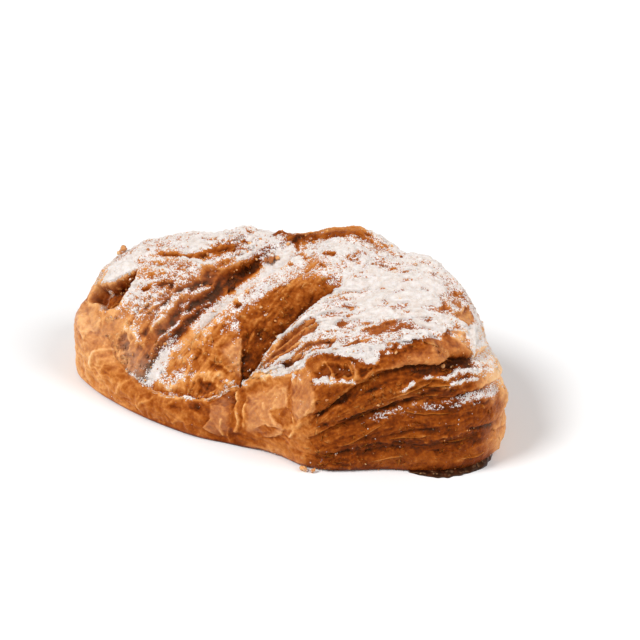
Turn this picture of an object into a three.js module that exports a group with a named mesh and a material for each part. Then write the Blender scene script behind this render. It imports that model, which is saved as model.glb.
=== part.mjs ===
// Custard danish: one baked piece of folded puff pastry, slashed twice across its top.
// The folded edge is the low front (-Y) side. The slashes run back from it and open as two valleys.
// The right-hand (+X) end is the cut side, where the layers fan out from a pinch at the front corner.
// Units are millimetres, +Z is up, and the origin is under the middle of the piece, on the table.
import * as THREE from "three";

// ---- driving dimensions ----
const COLUMNS = 104; // faces round the piece
const UNDER_ROWS = 4; // rows of faces where the wall curls under to the table
const CRUST_ROWS = 36; // rows of faces from the widest level up to the crown
const CROWN = [2, 0]; // plan point that all rows of the top close on
const PINCH = [19, -36]; // plan point of the outline where the end layers are pressed together
const SHOULDER_INSET = 5; // the top skin starts this far in from the front outline
const RISE_LENGTH = 16; // distance over which the top climbs from the folded edge to the back

// Widest outline of the piece, from the right end round the back, the left end and the front.
const OUTLINE = [
  [71, -2], [64, 7], [53.5, 17.5], [40, 29], [23, 37], [5, 37], [-17, 33], [-39, 27],
  [-59, 22], [-70, 11], [-71, -2], [-69, -14], [-61, -21], [-48, -27], [-33, -31.5],
  [-17, -34], [-3, -33.5], [10, -34], [22, -36.5], [33, -33], [46, -27.5], [60, -23], [69, -15],
];

// Where the front of the outline lies, and how high the top is at the front and at the back, along X.
const FRONT_Y = [
  [-71, -8], [-61, -21], [-48, -27], [-33, -31.5], [-17, -34], [-3, -33.5], [10, -34],
  [22, -36.5], [33, -33], [46, -27.5], [60, -23], [69, -15], [75, -2],
];
const FRONT_HEIGHT = [
  [-71, 30], [-61, 22], [-50, 16], [-35, 12], [-20, 12], [-6, 14.5], [8, 20], [21, 29],
  [36, 38], [49, 43], [61, 42], [75, 36],
];
const BACK_HEIGHT = [
  [-71, 39], [-57, 41.5], [-42, 43], [-31, 45], [-25, 47], [-20, 45], [-8, 45.5], [3, 48.5], [11, 50],
  [17, 48], [22, 46], [26, 45], [30, 46], [36, 47.5], [44, 47.8], [50, 47], [59, 44], [75, 36],
];

// Each slash: the plan line of its floor and the floor's height, along Y; how wide its two walls are;
// and the stretch of Y over which it opens at the front and closes at the back.
const SLASHES = [
  {
    line: [
      [-34, -34], [-25, -31], [-20, -28.5], [-15, -25.5], [-7, -20.5], [-1, -16.5], [6, -11], [14, -5],
      [21, 2],
    ],
    floor: [[-34, 9], [-25, 12], [-20, 14], [-15, 16.5], [-7, 21], [-1, 25], [6, 32], [14, 39], [21, 45]],
    leftWall: 19,
    rightWall: 6.5,
    opens: [-36, -30],
    closes: [12, 24],
  },
  {
    line: [[-32, -9.5], [-27, -7], [-22, -3], [-18, 1], [-14, 5], [-9, 10], [-4, 14.5], [0, 17]],
    floor: [[-32, 12], [-27, 13.5], [-22, 15.5], [-18, 18], [-14, 22], [-9, 27], [-4, 33], [0, 39]],
    leftWall: 14,
    rightWall: 4.5,
    opens: [-35, -28],
    closes: [-5, 3],
  },
];
const VALLEY_SHARPNESS = 0.5; // 0 for a soft trough, 1 for a hard crease between round ridges

// Grooves between the layers of the cut end, from the lowest up: the height of each one along the
// outline, counted in millimetres from the pinch, and how deep it bites into the wall.
const GROOVES = [
  { height: [[0, 5], [12, 7], [23, 8], [36, 10], [50, 13], [66, 14], [90, 13], [120, 12]], depth: 1.4 },
  { height: [[0, 9], [12, 16], [23, 21], [36, 25.5], [50, 26.5], [66, 25], [90, 23], [120, 22]], depth: 2.4 },
  { height: [[0, 12], [12, 24], [23, 31.5], [36, 36], [50, 35], [66, 32], [90, 30], [120, 29]], depth: 3.6 },
];
const LOWEST_BAND_START = -6; // the lowest layer would reach this far below the table
const TOP_BAND_RISE = 3; // the topmost layer would reach this far above the crust
const OVERHANG_SHARE = 0.22; // share of a layer's height over which it comes out above its groove
const SLOPE_START = 0.45; // share of a layer's height at which it starts to slope back
const FAN_START = 14; // length from the pinch over which the grooves reach full depth
const FAN_END = [95, 125]; // length from the pinch over which they fade out at the back

// Burnt sugar foot that ran out under the cut end.
const FOOT = { from: 26, to: 62, fade: 8, height: 3.6, reach: 2.2 };

// ---- small helpers ----
const clamp = THREE.MathUtils.clamp;
const smooth = (from, to, value) => THREE.MathUtils.smoothstep(value, from, to);

// Smooth curve through named stations [place, value], held level past both ends.
function through(stations) {
  const last = stations.length - 1;
  const slopes = stations.map((_, i) => {
    const [x0, y0] = stations[Math.max(i - 1, 0)];
    const [x1, y1] = stations[Math.min(i + 1, last)];
    return (y1 - y0) / (x1 - x0);
  });
  return (place) => {
    const x = clamp(place, stations[0][0], stations[last][0]);
    let i = 0;
    while (i < last - 1 && x > stations[i + 1][0]) i += 1;
    const [x0, y0] = stations[i];
    const [x1, y1] = stations[i + 1];
    const h = x1 - x0;
    const t = (x - x0) / h;
    const a = (2 * t * t * t - 3 * t * t + 1) * y0 + (t * t * t - 2 * t * t + t) * h * slopes[i];
    const b = (3 * t * t - 2 * t * t * t) * y1 + (t * t * t - t * t) * h * slopes[i + 1];
    return a + b;
  };
}

// ---- the top: a slope up from the folded edge, with the slashes let into it ----
const frontY = through(FRONT_Y);
const frontHeight = through(FRONT_HEIGHT);
const backHeight = through(BACK_HEIGHT);
const slashes = SLASHES.map((slash) => {
  return { ...slash, line: through(slash.line), floor: through(slash.floor) };
});

function slopeHeight(x, y) {
  const inward = Math.max(y - frontY(x) - SHOULDER_INSET, 0);
  const rise = 1 - Math.exp(-inward / RISE_LENGTH);
  return frontHeight(x) + (backHeight(x) - frontHeight(x)) * rise;
}

// How far a slash pulls the top down at (x, y), from 0 on the ridges to 1 on its floor.
function slashPull(slash, x, y) {
  const step = 0.5;
  const lean = (slash.line(y + step) - slash.line(y - step)) / (2 * step);
  const across = (x - slash.line(y)) / Math.hypot(1, lean);
  const u = clamp(across < 0 ? -across / slash.leftWall : across / slash.rightWall, 0, 1);
  const crease = 1 - Math.sqrt(1 - (1 - u) ** 2);
  const trough = 1 - smooth(0, 1, u);
  const along = smooth(...slash.opens, y) * (1 - smooth(...slash.closes, y));
  return (VALLEY_SHARPNESS * crease + (1 - VALLEY_SHARPNESS) * trough) * along;
}

function topHeight(x, y) {
  return slashes.reduce(
    (z, slash) => z - Math.max(z - slash.floor(y), 0) * slashPull(slash, x, y),
    slopeHeight(x, y),
  );
}

// ---- the wall: puffed layers between grooves, and the burnt foot ----
const grooves = GROOVES.map(({ height, depth }) => ({ height: through(height), depth }));

// How far the wall is drawn in at height z, a length s along the outline from the pinch. Each layer
// overhangs the groove under it and slopes back to the groove above it.
function foldDepth(s, z, top) {
  const edges = [
    { at: LOWEST_BAND_START, depth: 0 },
    ...grooves.map(({ height, depth }) => ({ at: height(s), depth })),
    { at: top + TOP_BAND_RISE, depth: 0 },
  ];
  const i = edges.findIndex((edge, k) => k + 1 < edges.length && z >= edge.at && z < edges[k + 1].at);
  if (i < 0) return 0;
  const u = (z - edges[i].at) / (edges[i + 1].at - edges[i].at);
  const aboveGroove = edges[i].depth * Math.max(1 - u / OVERHANG_SHARE, 0) ** 1.6;
  const belowGroove = edges[i + 1].depth * Math.max((u - SLOPE_START) / (1 - SLOPE_START), 0) ** 2;
  return aboveGroove + belowGroove;
}

function footReach(s, z) {
  const along = smooth(FOOT.from, FOOT.from + FOOT.fade, s) * (1 - smooth(FOOT.to - FOOT.fade, FOOT.to, s));
  return FOOT.reach * along * (1 - smooth(FOOT.height * 0.6, FOOT.height, z));
}

// ---- one column of points, from the edge of the flat base up to the crown ----
function column([ox, oy], s) {
  const cutFront = smooth(17, 29, ox) * (1 - smooth(55, 67, ox)) * (1 - smooth(-10, 2, oy));
  const right = smooth(25, 50, ox);
  const left = 1 - smooth(-66, -48, ox);
  const back = smooth(2, 20, oy);
  const pinch = smooth(-2, 6, ox) * (1 - smooth(22, 32, ox)) * (1 - smooth(-10, 2, oy));
  const ends = 2.6 * left * (1 - back) - 0.4 * right * (1 - cutFront) * (1 - back);
  const squareness = 4.2 + 4 * cutFront + 2 * back + ends;
  const curl = 1.5 + 7 * right + 2.5 * pinch; // height at which the wall is widest
  const baseShare = 0.97 - 0.03 * right - 0.035 * pinch; // the flat base ends at this share of the outline
  const radius = Math.hypot(ox - CROWN[0], oy - CROWN[1]);
  const points = [];
  const place = (share, level) => {
    const x = CROWN[0] + (ox - CROWN[0]) * share;
    const y = CROWN[1] + (oy - CROWN[1]) * share;
    const top = topHeight(x, y);
    const z = level < 0 ? curl * (1 + level) : curl + (top - curl) * level;
    const onWall = smooth(0.55, 0.9, share);
    const fan = smooth(0, FAN_START, s) * (1 - smooth(...FAN_END, s)) * onWall;
    const out = (footReach(s, z) * onWall - foldDepth(s, z, top) * fan) / radius;
    points.push(new THREE.Vector3(x + (ox - CROWN[0]) * out, y + (oy - CROWN[1]) * out, z));
  };
  for (let i = 0; i < UNDER_ROWS; i += 1) {
    const a = ((Math.PI / 2) * i) / UNDER_ROWS;
    place(baseShare + (1 - baseShare) * Math.sin(a), -Math.cos(a));
  }
  for (let i = 0; i < CRUST_ROWS; i += 1) {
    const a = ((Math.PI / 2) * i) / CRUST_ROWS;
    const reach = (Math.cos(a) ** squareness + Math.sin(a) ** squareness) ** (-1 / squareness);
    place(reach * Math.cos(a), reach * Math.sin(a));
  }
  return points;
}

// ---- the closed skin: columns joined side by side, closed at the crown and across the flat base ----
function pastryGeometry() {
  const loop = OUTLINE.map(([x, y]) => new THREE.Vector3(x, y, 0));
  const outline = new THREE.CatmullRomCurve3(loop, true, "catmullrom", 0.5);
  outline.arcLengthDivisions = 2000;
  const plan = outline.getSpacedPoints(COLUMNS).slice(0, COLUMNS);
  const step = outline.getLength() / COLUMNS;
  const pinch = new THREE.Vector3(...PINCH, 0);
  const distances = plan.map((p) => p.distanceTo(pinch));
  const start = distances.indexOf(Math.min(...distances));
  const columns = plan.map((p, i) => column([p.x, p.y], ((i - start + COLUMNS) % COLUMNS) * step));

  const rows = columns[0].length;
  const points = columns.flat();
  const crown = points.push(new THREE.Vector3(...CROWN, topHeight(...CROWN))) - 1;
  const base = points.push(new THREE.Vector3(...CROWN, 0)) - 1;
  const faces = [];
  for (let c = 0; c < COLUMNS; c += 1) {
    const here = c * rows;
    const next = ((c + 1) % COLUMNS) * rows;
    for (let r = 0; r < rows - 1; r += 1) {
      faces.push(here + r, next + r, next + r + 1, here + r, next + r + 1, here + r + 1);
    }
    faces.push(here + rows - 1, next + rows - 1, crown);
    faces.push(next, here, base);
  }
  const geometry = new THREE.BufferGeometry().setFromPoints(points).setIndex(faces);
  geometry.computeBoundingBox();
  const middle = geometry.boundingBox.getCenter(new THREE.Vector3());
  geometry.translate(-middle.x, -middle.y, 0);
  geometry.computeVertexNormals();
  return geometry;
}

const crust = new THREE.MeshStandardMaterial({ color: 0xb8692c, roughness: 0.6, metalness: 0 });
const pastry = new THREE.Mesh(pastryGeometry(), crust);
pastry.name = "pastry";

const danish = new THREE.Group();
danish.add(pastry);

export default danish;
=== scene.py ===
"""Custard danish: the looks of one baked piece of folded, twice slashed puff pastry.

The skin is worked out as whole arrays of points from the same named sizes as the solid. On it lie thin
flaky skins, crumbs, powdered sugar and a foot of burnt sugar. Sizes are in millimetres until a mesh is made.
"""
import math
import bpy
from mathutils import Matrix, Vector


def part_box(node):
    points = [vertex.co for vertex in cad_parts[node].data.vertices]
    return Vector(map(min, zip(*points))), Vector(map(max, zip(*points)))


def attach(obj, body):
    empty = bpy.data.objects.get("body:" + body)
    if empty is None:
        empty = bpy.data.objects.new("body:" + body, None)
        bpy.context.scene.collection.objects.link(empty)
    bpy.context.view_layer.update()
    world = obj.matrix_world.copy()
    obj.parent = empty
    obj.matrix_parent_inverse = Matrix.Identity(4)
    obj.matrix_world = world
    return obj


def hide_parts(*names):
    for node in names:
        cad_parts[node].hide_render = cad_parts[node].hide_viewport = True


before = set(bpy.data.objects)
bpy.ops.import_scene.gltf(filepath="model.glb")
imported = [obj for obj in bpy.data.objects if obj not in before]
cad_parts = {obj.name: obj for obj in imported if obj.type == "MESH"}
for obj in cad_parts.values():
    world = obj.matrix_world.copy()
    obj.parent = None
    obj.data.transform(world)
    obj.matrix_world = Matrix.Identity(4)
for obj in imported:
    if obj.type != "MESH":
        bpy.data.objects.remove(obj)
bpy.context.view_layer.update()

from types import SimpleNamespace

import bpy
import numpy as np

MILLIMETRE = 0.001

# ------------------------------------------------
# The body: the solid's own sizes, repeated
# ------------------------------------------------
CROWN = np.array([2.0, 0.0])  # plan point from which every share of the way out is counted
PINCH = np.array([19.0, -36.0])  # front corner at which the layers of the cut end are pinched together
SHOULDER_INSET = 5.0  # how far in from the front edge the top starts to climb
RISE_LENGTH = 16.0  # over how long it climbs
OUTLINE = np.array([  # corners of the curve round the widest level
    [71, -2], [64, 7], [53.5, 17.5], [40, 29], [23, 37], [5, 37], [-17, 33], [-39, 27],
    [-59, 22], [-70, 11], [-71, -2], [-69, -14], [-61, -21], [-48, -27], [-33, -31.5],
    [-17, -34], [-3, -33.5], [10, -34], [22, -36.5], [33, -33], [46, -27.5], [60, -23], [69, -15],
])
# Along the length: where the front edge lies, and how high the front and the back of the top are there.
FRONT_Y = [
    (-71, -8), (-61, -21), (-48, -27), (-33, -31.5), (-17, -34), (-3, -33.5), (10, -34),
    (22, -36.5), (33, -33), (46, -27.5), (60, -23), (69, -15), (75, -2),
]
FRONT_HEIGHT = [
    (-71, 30), (-61, 22), (-50, 16), (-35, 12), (-20, 12), (-6, 14.5), (8, 20), (21, 29),
    (36, 38), (49, 43), (61, 42), (75, 36),
]
BACK_HEIGHT = [
    (-71, 39), (-57, 41.5), (-42, 43), (-31, 45), (-25, 47), (-20, 45), (-8, 45.5), (3, 48.5), (11, 50),
    (17, 48), (22, 46), (26, 45), (30, 46), (36, 47.5), (44, 47.8), (50, 47), (59, 44), (75, 36),
]
# A slash: along y, the x of its line and the height of its floor; how far its left and its right wall reach;
# and between which y it opens and closes.
SLASH_1 = {
    "line": [
        (-34, -34), (-25, -31), (-20, -28.5), (-15, -25.5), (-7, -20.5), (-1, -16.5), (6, -11), (14, -5),
        (21, 2),
    ],
    "floor": [(-34, 9), (-25, 12), (-20, 14), (-15, 16.5), (-7, 21), (-1, 25), (6, 32), (14, 39), (21, 45)],
    "walls": (19.0, 6.5), "opens": (-36, -30), "closes": (12, 24),
}
SLASH_2 = {
    "line": [(-32, -9.5), (-27, -7), (-22, -3), (-18, 1), (-14, 5), (-9, 10), (-4, 14.5), (0, 17)],
    "floor": [(-32, 12), (-27, 13.5), (-22, 15.5), (-18, 18), (-14, 22), (-9, 27), (-4, 33), (0, 39)],
    "walls": (14.0, 4.5), "opens": (-35, -28), "closes": (-5, 3),
}
VALLEY_SHARPNESS = 0.5  # how much of a slash's floor is a crease, the rest being a soft trough
GROOVE_PLACES = (0, 12, 23, 36, 50, 66, 90, 120)  # lengths from the pinch
GROOVES = [  # heights of a groove at those lengths, and its depth
    ((5, 7, 8, 10, 13, 14, 13, 12), 1.4),
    ((9, 16, 21, 25.5, 26.5, 25, 23, 22), 2.4),
    ((12, 24, 31.5, 36, 35, 32, 30, 29), 3.6),
]
LOWEST_BAND_START = -6.0  # height at which the lowest band of layers would start, under the table
TOP_BAND_RISE = 3.0  # how far above the top the highest band would end
FAN_START = 14.0  # length from the pinch over which the grooves deepen
FAN_END = (95.0, 125.0)  # lengths between which they fade out again
FOLDED_EDGE_LENGTH = 110.0  # length of the outline that is counted on the folded edge's side
GROOVES_OPEN = 0.75  # part of the solid's grooves that the flaky skins leave open


def smooth(start, end, value):
    """Smoothstep: 0 up to start, 1 past end, and 3t^2 - 2t^3 between them."""
    t = np.clip((value - start) / (end - start), 0, 1)
    return t * t * (3 - 2 * t)


def through(stations, place):
    """Smooth curve through (place, value) stations: a cubic between each two, level past both ends."""
    xs, ys = np.array(stations, float).T
    wide = np.concatenate([[0], np.arange(len(xs)), [len(xs) - 1]])
    slopes = (ys[wide[2:]] - ys[wide[:-2]]) / (xs[wide[2:]] - xs[wide[:-2]])
    x = np.clip(place, xs[0], xs[-1])
    i = np.clip(np.searchsorted(xs, x, side="right") - 1, 0, len(xs) - 2)
    h = xs[i + 1] - xs[i]
    t = (x - xs[i]) / h
    value = (2 * t**3 - 3 * t**2 + 1) * ys[i] + (3 * t**2 - 2 * t**3) * ys[i + 1]
    return value + h * ((t**3 - 2 * t**2 + t) * slopes[i] + (t**3 - t**2) * slopes[i + 1])


def closed_curve(corners, steps=400):
    """Closed Catmull-Rom curve through the corners, as dense points with their distance along it."""
    count = len(corners)
    u = np.arange(steps * count) / steps
    i = u.astype(int)
    t = (u - i)[:, None]
    a, b, c, d = (corners[(i + k) % count] for k in (-1, 0, 1, 2))
    points = 2 * b + (c - a) * t + (2 * a - 5 * b + 4 * c - d) * t**2 + (3 * b - a - 3 * c + d) * t**3
    points = 0.5 * np.vstack([points, points[:1]])
    steps_long = np.linalg.norm(np.diff(points, axis=0), axis=1)
    return points, np.concatenate([[0], np.cumsum(steps_long)])


RIM, RIM_ARC = closed_curve(OUTLINE)
PERIMETER = RIM_ARC[-1]
PINCH_ARC = RIM_ARC[np.argmin(np.linalg.norm(RIM - PINCH, axis=1))]


def outline_at(s):
    """Point of the widest outline, a length s along it from the pinch towards the cut end."""
    arc = (s + PINCH_ARC) % PERIMETER
    return np.interp(arc, RIM_ARC, RIM[:, 0]), np.interp(arc, RIM_ARC, RIM[:, 1])


def slope_height(x, y):
    """Top without its slashes: it climbs from the folded edge to the back as 1 - exp(-inward / length)."""
    inward = np.maximum(y - through(FRONT_Y, x) - SHOULDER_INSET, 0)
    front = through(FRONT_HEIGHT, x)
    return front + (through(BACK_HEIGHT, x) - front) * (1 - np.exp(-inward / RISE_LENGTH))


def slash_place(slash, x, y):
    """Distance across a slash in plan, negative on its left, and how far it is open at that y."""
    line = through(slash["line"], y)
    lean = through(slash["line"], y + 0.5) - through(slash["line"], y - 0.5)
    across = (x - line) / np.hypot(1, lean)
    opened = smooth(*slash["opens"], y) * (1 - smooth(*slash["closes"], y))
    return across, opened


def slash_pull(slash, x, y):
    """How far a slash pulls the top down to its floor: half round crease, half soft trough."""
    across, opened = slash_place(slash, x, y)
    left, right = slash["walls"]
    u = np.clip(np.where(across < 0, -across / left, across / right), 0, 1)
    crease = 1 - np.sqrt(np.clip(1 - (1 - u) ** 2, 0, 1))
    trough = 1 - smooth(0, 1, u)
    return (VALLEY_SHARPNESS * crease + (1 - VALLEY_SHARPNESS) * trough) * opened


def top_height(x, y):
    """Height of the top at a plan point, with both slashes let into it."""
    z = slope_height(x, y)
    for slash in (SLASH_1, SLASH_2):
        z = z - np.maximum(z - through(slash["floor"], y), 0) * slash_pull(slash, x, y)
    return z


def band_place(s, z, top):
    """Which layer of the cut end a height lies in, counted up from 0, with the share of that layer."""
    edges = [np.full_like(z, LOWEST_BAND_START)]
    edges += [through(list(zip(GROOVE_PLACES, heights)), s) for heights, _ in GROOVES]
    edges += [top + TOP_BAND_RISE]
    place = np.zeros_like(z)
    for k in range(len(edges) - 1):
        share = np.clip((z - edges[k]) / np.maximum(edges[k + 1] - edges[k], 0.001), 0, 1)
        place = place + share
    return place


def fold_depth(place):
    """How far the wall is drawn in: a band overhangs the groove under it and slopes back to the one above."""
    depths = np.array([0.0] + [depth for _, depth in GROOVES] + [0.0, 0.0])
    band = np.clip(np.floor(place), 0, len(GROOVES)).astype(int)
    u = place - band
    above = depths[band] * np.clip(1 - u / 0.22, 0, 1) ** 1.6
    below = depths[band + 1] * np.clip((u - 0.45) / 0.55, 0, 1) ** 2
    return above + below


def squareness(ox, oy):
    """Power of the section from the widest level to the crown, by the outline point it starts from."""
    cut_front = smooth(17, 29, ox) * (1 - smooth(55, 67, ox)) * (1 - smooth(-10, 2, oy))
    right = smooth(25, 50, ox)
    left = 1 - smooth(-66, -48, ox)
    back = smooth(2, 20, oy)
    power = 4.2 + 4 * cut_front + 2 * back + 2.6 * left * (1 - back)
    return power - 0.4 * right * (1 - cut_front) * (1 - back)


def under(ox, oy):
    """Height over which the wall curls out from the table, and the flat base's share of the outline."""
    right = smooth(25, 50, ox)
    pinch = smooth(-2, 6, ox) * (1 - smooth(22, 32, ox)) * (1 - smooth(-10, 2, oy))
    return 1.5 + 7 * right + 2.5 * pinch, 0.97 - 0.03 * right - 0.035 * pinch


def body_point(s, share, level):
    """Point of the plain body: share is its part of the way out to the outline, level of the way up.

    A level below 0 is on the part that curls under to the table. Returns the points and the layer place.
    """
    ox, oy = outline_at(s)
    out_x = ox - CROWN[0]
    out_y = oy - CROWN[1]
    curl, _ = under(ox, oy)
    x = CROWN[0] + out_x * share
    y = CROWN[1] + out_y * share
    top = top_height(x, y)
    z = np.where(level < 0, curl * (1 + level), curl + (top - curl) * level)
    on_wall = smooth(0.55, 0.9, share)
    fan = smooth(0, FAN_START, s) * (1 - smooth(*FAN_END, s)) * on_wall
    place = band_place(s, z, top)
    pull = GROOVES_OPEN * fold_depth(place) * fan / np.hypot(out_x, out_y)
    return np.stack([x - out_x * pull, y - out_y * pull, z], -1), place


def level_at(share, power):
    """Level of the body's section at a share: share^p + level^p = 1."""
    return np.clip(1 - np.clip(share, 0, 1) ** power, 0, 1) ** (1 / power)


def plain_middle():
    """Middle, in plan, of the plain body's box."""
    s = np.linspace(0, PERIMETER, 700)[:, None]
    power = squareness(*outline_at(s))
    turn = np.linspace(0, np.pi / 2, 60)[None, :]
    reach = (np.cos(turn) ** power + np.sin(turn) ** power) ** (-1 / power)
    points, _ = body_point(s + 0 * turn, reach * np.cos(turn), reach * np.sin(turn))
    flat = points.reshape(-1, 3)[:, :2]
    return (flat.min(0) + flat.max(0)) / 2


LOW, HIGH = (np.array(corner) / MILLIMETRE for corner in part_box("pastry"))
SHIFT = np.append((LOW + HIGH)[:2] / 2 - plain_middle(), 0)  # from this frame to the object's

# ------------------------------------------------
# Sizes of the skin's own detail
# ------------------------------------------------
# The seam, where the folded-over front skin ends on the top: its share of the way out, along the outline.
SEAM_SHARE = [
    (-110, 0.88), (-85, 0.89), (-68, 0.91), (-56, 0.90), (-48, 0.91), (-41, 0.86), (-35, 0.83), (-29, 0.72),
    (-17, 0.745), (-5, 0.73), (6, 0.72), (16, 0.75), (24, 0.81), (32, 0.86), (43, 0.83), (57, 0.76),
    (66, 0.80), (80, 0.88), (105, 0.90), (170, 0.90), (235, 0.88),
]
PLEAT_CENTRE = np.array([-7.5, -27.0])  # plan point where the pleats of the widest ridge are gathered
TOP_COLUMNS = 420
TOP_ROWS = 226
TOP_EVENNESS = 0.7  # how far the rows of the top's grid even out their steps
CORNER_ARCS = (30.0, 115.0, 222.0, 267.0)  # outline lengths that the four corners of the top's grid meet
WALL_FINE = (-97.0, 77.0)  # stretch of the outline with close columns
WALL_FINE_STEP = 0.33
WALL_COARSE_STEP = 0.72
WALL_ROWS = 108
WALL_EVENNESS = 0.85
CURL_ROWS = 8  # rows of the wall below its widest level
# The bake field holds how baked the crust is, plus painted shade in hollows, creases and grooves and painted
# light on crests.
SKIN_FIELDS = ("bake", "sugar", "haze", "film")  # what the mesh says at its points
HOLLOW_SHADING = ((3, 0.32), (24, 0.26))  # rounds of evening out, and the painted shade added per mm of hollow, taken off per mm of crest as painted light
LOOSE_ROUNDS = 5  # rounds of evening out for the skin that loose things lie along
# How the skins are closed inside: how far the rim goes in, then the shares of the way to the crown that its
# rings are pulled in by, how far the second ring goes down and its least height, and the last ring's height.
TOP_INSIDE = {"rim": 0.5, "shares": (0.05, 0.08), "down": 3, "least": 4, "height": 3}
WALL_INSIDE = {"rim": 0.6, "shares": (0.01, 0.06, 0.12), "down": 4, "least": 5, "height": 5}
HIDDEN_FIELD = 0.4  # value of every field on the hidden points


# ------------------------------------------------
# Uneven patterns
# ------------------------------------------------
SHUFFLE = np.random.default_rng(11).permutation(256)
SLOPES = np.random.default_rng(12).normal(size=(256, 3))
SLOPES /= np.linalg.norm(SLOPES, axis=1, keepdims=True)
SEED_SHIFT = 13.7  # how many cubes one seed's noise lies from the next one's
CELL_SEED_SHIFT = 9.3
FACET_FOLD = 0.09  # width of the folds between settled facets, as a share of a cell


def noise(points, size, seed=0):
    """Gradient noise from about -1 to 1: random slopes at the corners of cubes of that size, blended."""
    q = points / np.asarray(size, float) + seed * SEED_SHIFT
    cell = np.floor(q).astype(int)
    f = q - cell
    ease = f * f * f * (f * (f * 6 - 15) + 10)
    total = np.zeros(points.shape[:-1])
    for corner in np.ndindex(2, 2, 2):
        pick = cell + corner
        index = SHUFFLE[pick[..., 0] & 255]
        index = SHUFFLE[(index + pick[..., 1]) & 255]
        index = SHUFFLE[(index + pick[..., 2]) & 255]
        slope = np.einsum("...k,...k", SLOPES[index], f - corner)
        total += slope * np.prod(np.where(corner, ease, 1 - ease), axis=-1)
    return total * 1.7


def layers_of_noise(points, size, seed=0, octaves=3):
    """Noise summed over octaves, each half the size and half the strength of the one before."""
    total = np.zeros(points.shape[:-1])
    for k in range(octaves):
        total += noise(points, np.asarray(size, float) / 2**k, seed + k) / 2**k
    return total


def creased(points, size, seed=0):
    """Noise folded at zero, so that it makes sharp crests: 1 - 2|noise|."""
    return 1 - 2 * np.abs(noise(points, size, seed))


def cells(points, size, seed=0):
    """Cells round one random point in each cube of that size: distance from the edge, and a cell's number."""
    q = points / np.asarray(size, float) + seed * CELL_SEED_SHIFT
    home = np.floor(q).astype(int)
    first = np.full(q.shape[:-1], 9.0)
    second = first.copy()
    number = np.zeros(q.shape[:-1])
    for step in np.ndindex(3, 3, 3):
        cell = home + step - 1
        index = SHUFFLE[cell[..., 0] & 255]
        index = SHUFFLE[(index + cell[..., 1]) & 255]
        index = SHUFFLE[(index + cell[..., 2]) & 255]
        seedling = cell + 0.5 + 0.42 * np.tanh(SLOPES[index] * 1.2)
        distance = np.linalg.norm(q - seedling, axis=-1)
        closer = distance < first
        second = np.where(closer, first, np.minimum(second, distance))
        number = np.where(closer, index / 255, number)
        first = np.where(closer, distance, first)
    return second - first, number


def crumpled(points, size, seed=0):
    """Thin skin settled in flat facets: each cell lies at its own height, with raised folds between them."""
    edge, number = cells(points, size, seed)
    fold = np.exp(-((edge / FACET_FOLD) ** 2))
    return smooth(0.0, 0.22, edge) * (number - 0.5) + 0.35 * fold, number


def stack(*parts):
    """Puts fields together as the coordinates of points."""
    return np.stack(np.broadcast_arrays(*parts), -1)


# ------------------------------------------------
# Surfaces as grids
# ------------------------------------------------
def grid_normals(points, wraps=False):
    """Unit normals of a grid of points: the cross product of its first step and its second."""
    if wraps:
        first = np.roll(points, -1, 0) - np.roll(points, 1, 0)
    else:
        first = np.gradient(points, axis=0)
    normal = np.cross(first, np.gradient(points, axis=1))
    return normal / np.maximum(np.linalg.norm(normal, axis=-1, keepdims=True), 1e-9)


def relax(points, evenness):
    """New places for the second index of a grid, 0 to 1, that even out the lengths of its steps."""
    steps = np.linalg.norm(np.diff(points, axis=1), axis=-1)
    steps = steps / steps.sum(1, keepdims=True)
    count = steps.shape[1]
    steps = evenness * steps + (1 - evenness) / count
    places = np.concatenate([np.zeros((len(points), 1)), np.cumsum(steps, 1)], 1)
    even = np.linspace(0, 1, count + 1)
    return np.stack([np.interp(even, row, even) for row in places])


def signed_arc(s):
    """Length from the pinch, counted negative on the folded edge's side."""
    return (s + FOLDED_EDGE_LENGTH) % PERIMETER - FOLDED_EDGE_LENGTH


def round_outline(stations, arc):
    """Smooth curve through (length from the pinch, value) stations, closed round the outline."""
    return through(stations + [(stations[0][0] + PERIMETER, stations[0][1])], arc)


def seam_share(s):
    """Share of the way out at which the front skin ends: the seam's stations, a little ragged."""
    ragged = 0.02 * layers_of_noise(stack(*outline_at(s), 0.0), 6.0, seed=31)
    return round_outline(SEAM_SHARE, signed_arc(s)) + ragged


def disc_from_square(u, v):
    """Radius and turn (in quarter turns, from -0.5) of the disc point that a square's point maps to."""
    radius = np.maximum(np.abs(u), np.abs(v))
    safe = np.maximum(radius, 1e-9)
    turn = np.select(
        [(u >= np.abs(v)), (v >= np.abs(u)), (-u >= np.abs(v))],
        [v / safe / 2, 1 - u / safe / 2, 2 - v / safe / 2],
        3 + u / safe / 2,
    )
    return radius, turn


def top_grid_place(u, v):
    """Outline length and share of a point of the top's grid: rings of the square are rings of the top."""
    radius, turn = disc_from_square(u, v)
    arcs = np.array(CORNER_ARCS + (CORNER_ARCS[0] + PERIMETER,))
    s = np.interp((turn + 0.5) % 4, np.arange(5), arcs)
    return s, radius * seam_share(s)


def top_body(u, v):
    """Points of the plain top over the grid's square, with their outline length, share and layer place."""
    s, share = top_grid_place(u, v)
    power = squareness(*outline_at(s))
    points, place = body_point(s, share, level_at(share, power))
    return points, s, share, place
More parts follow.
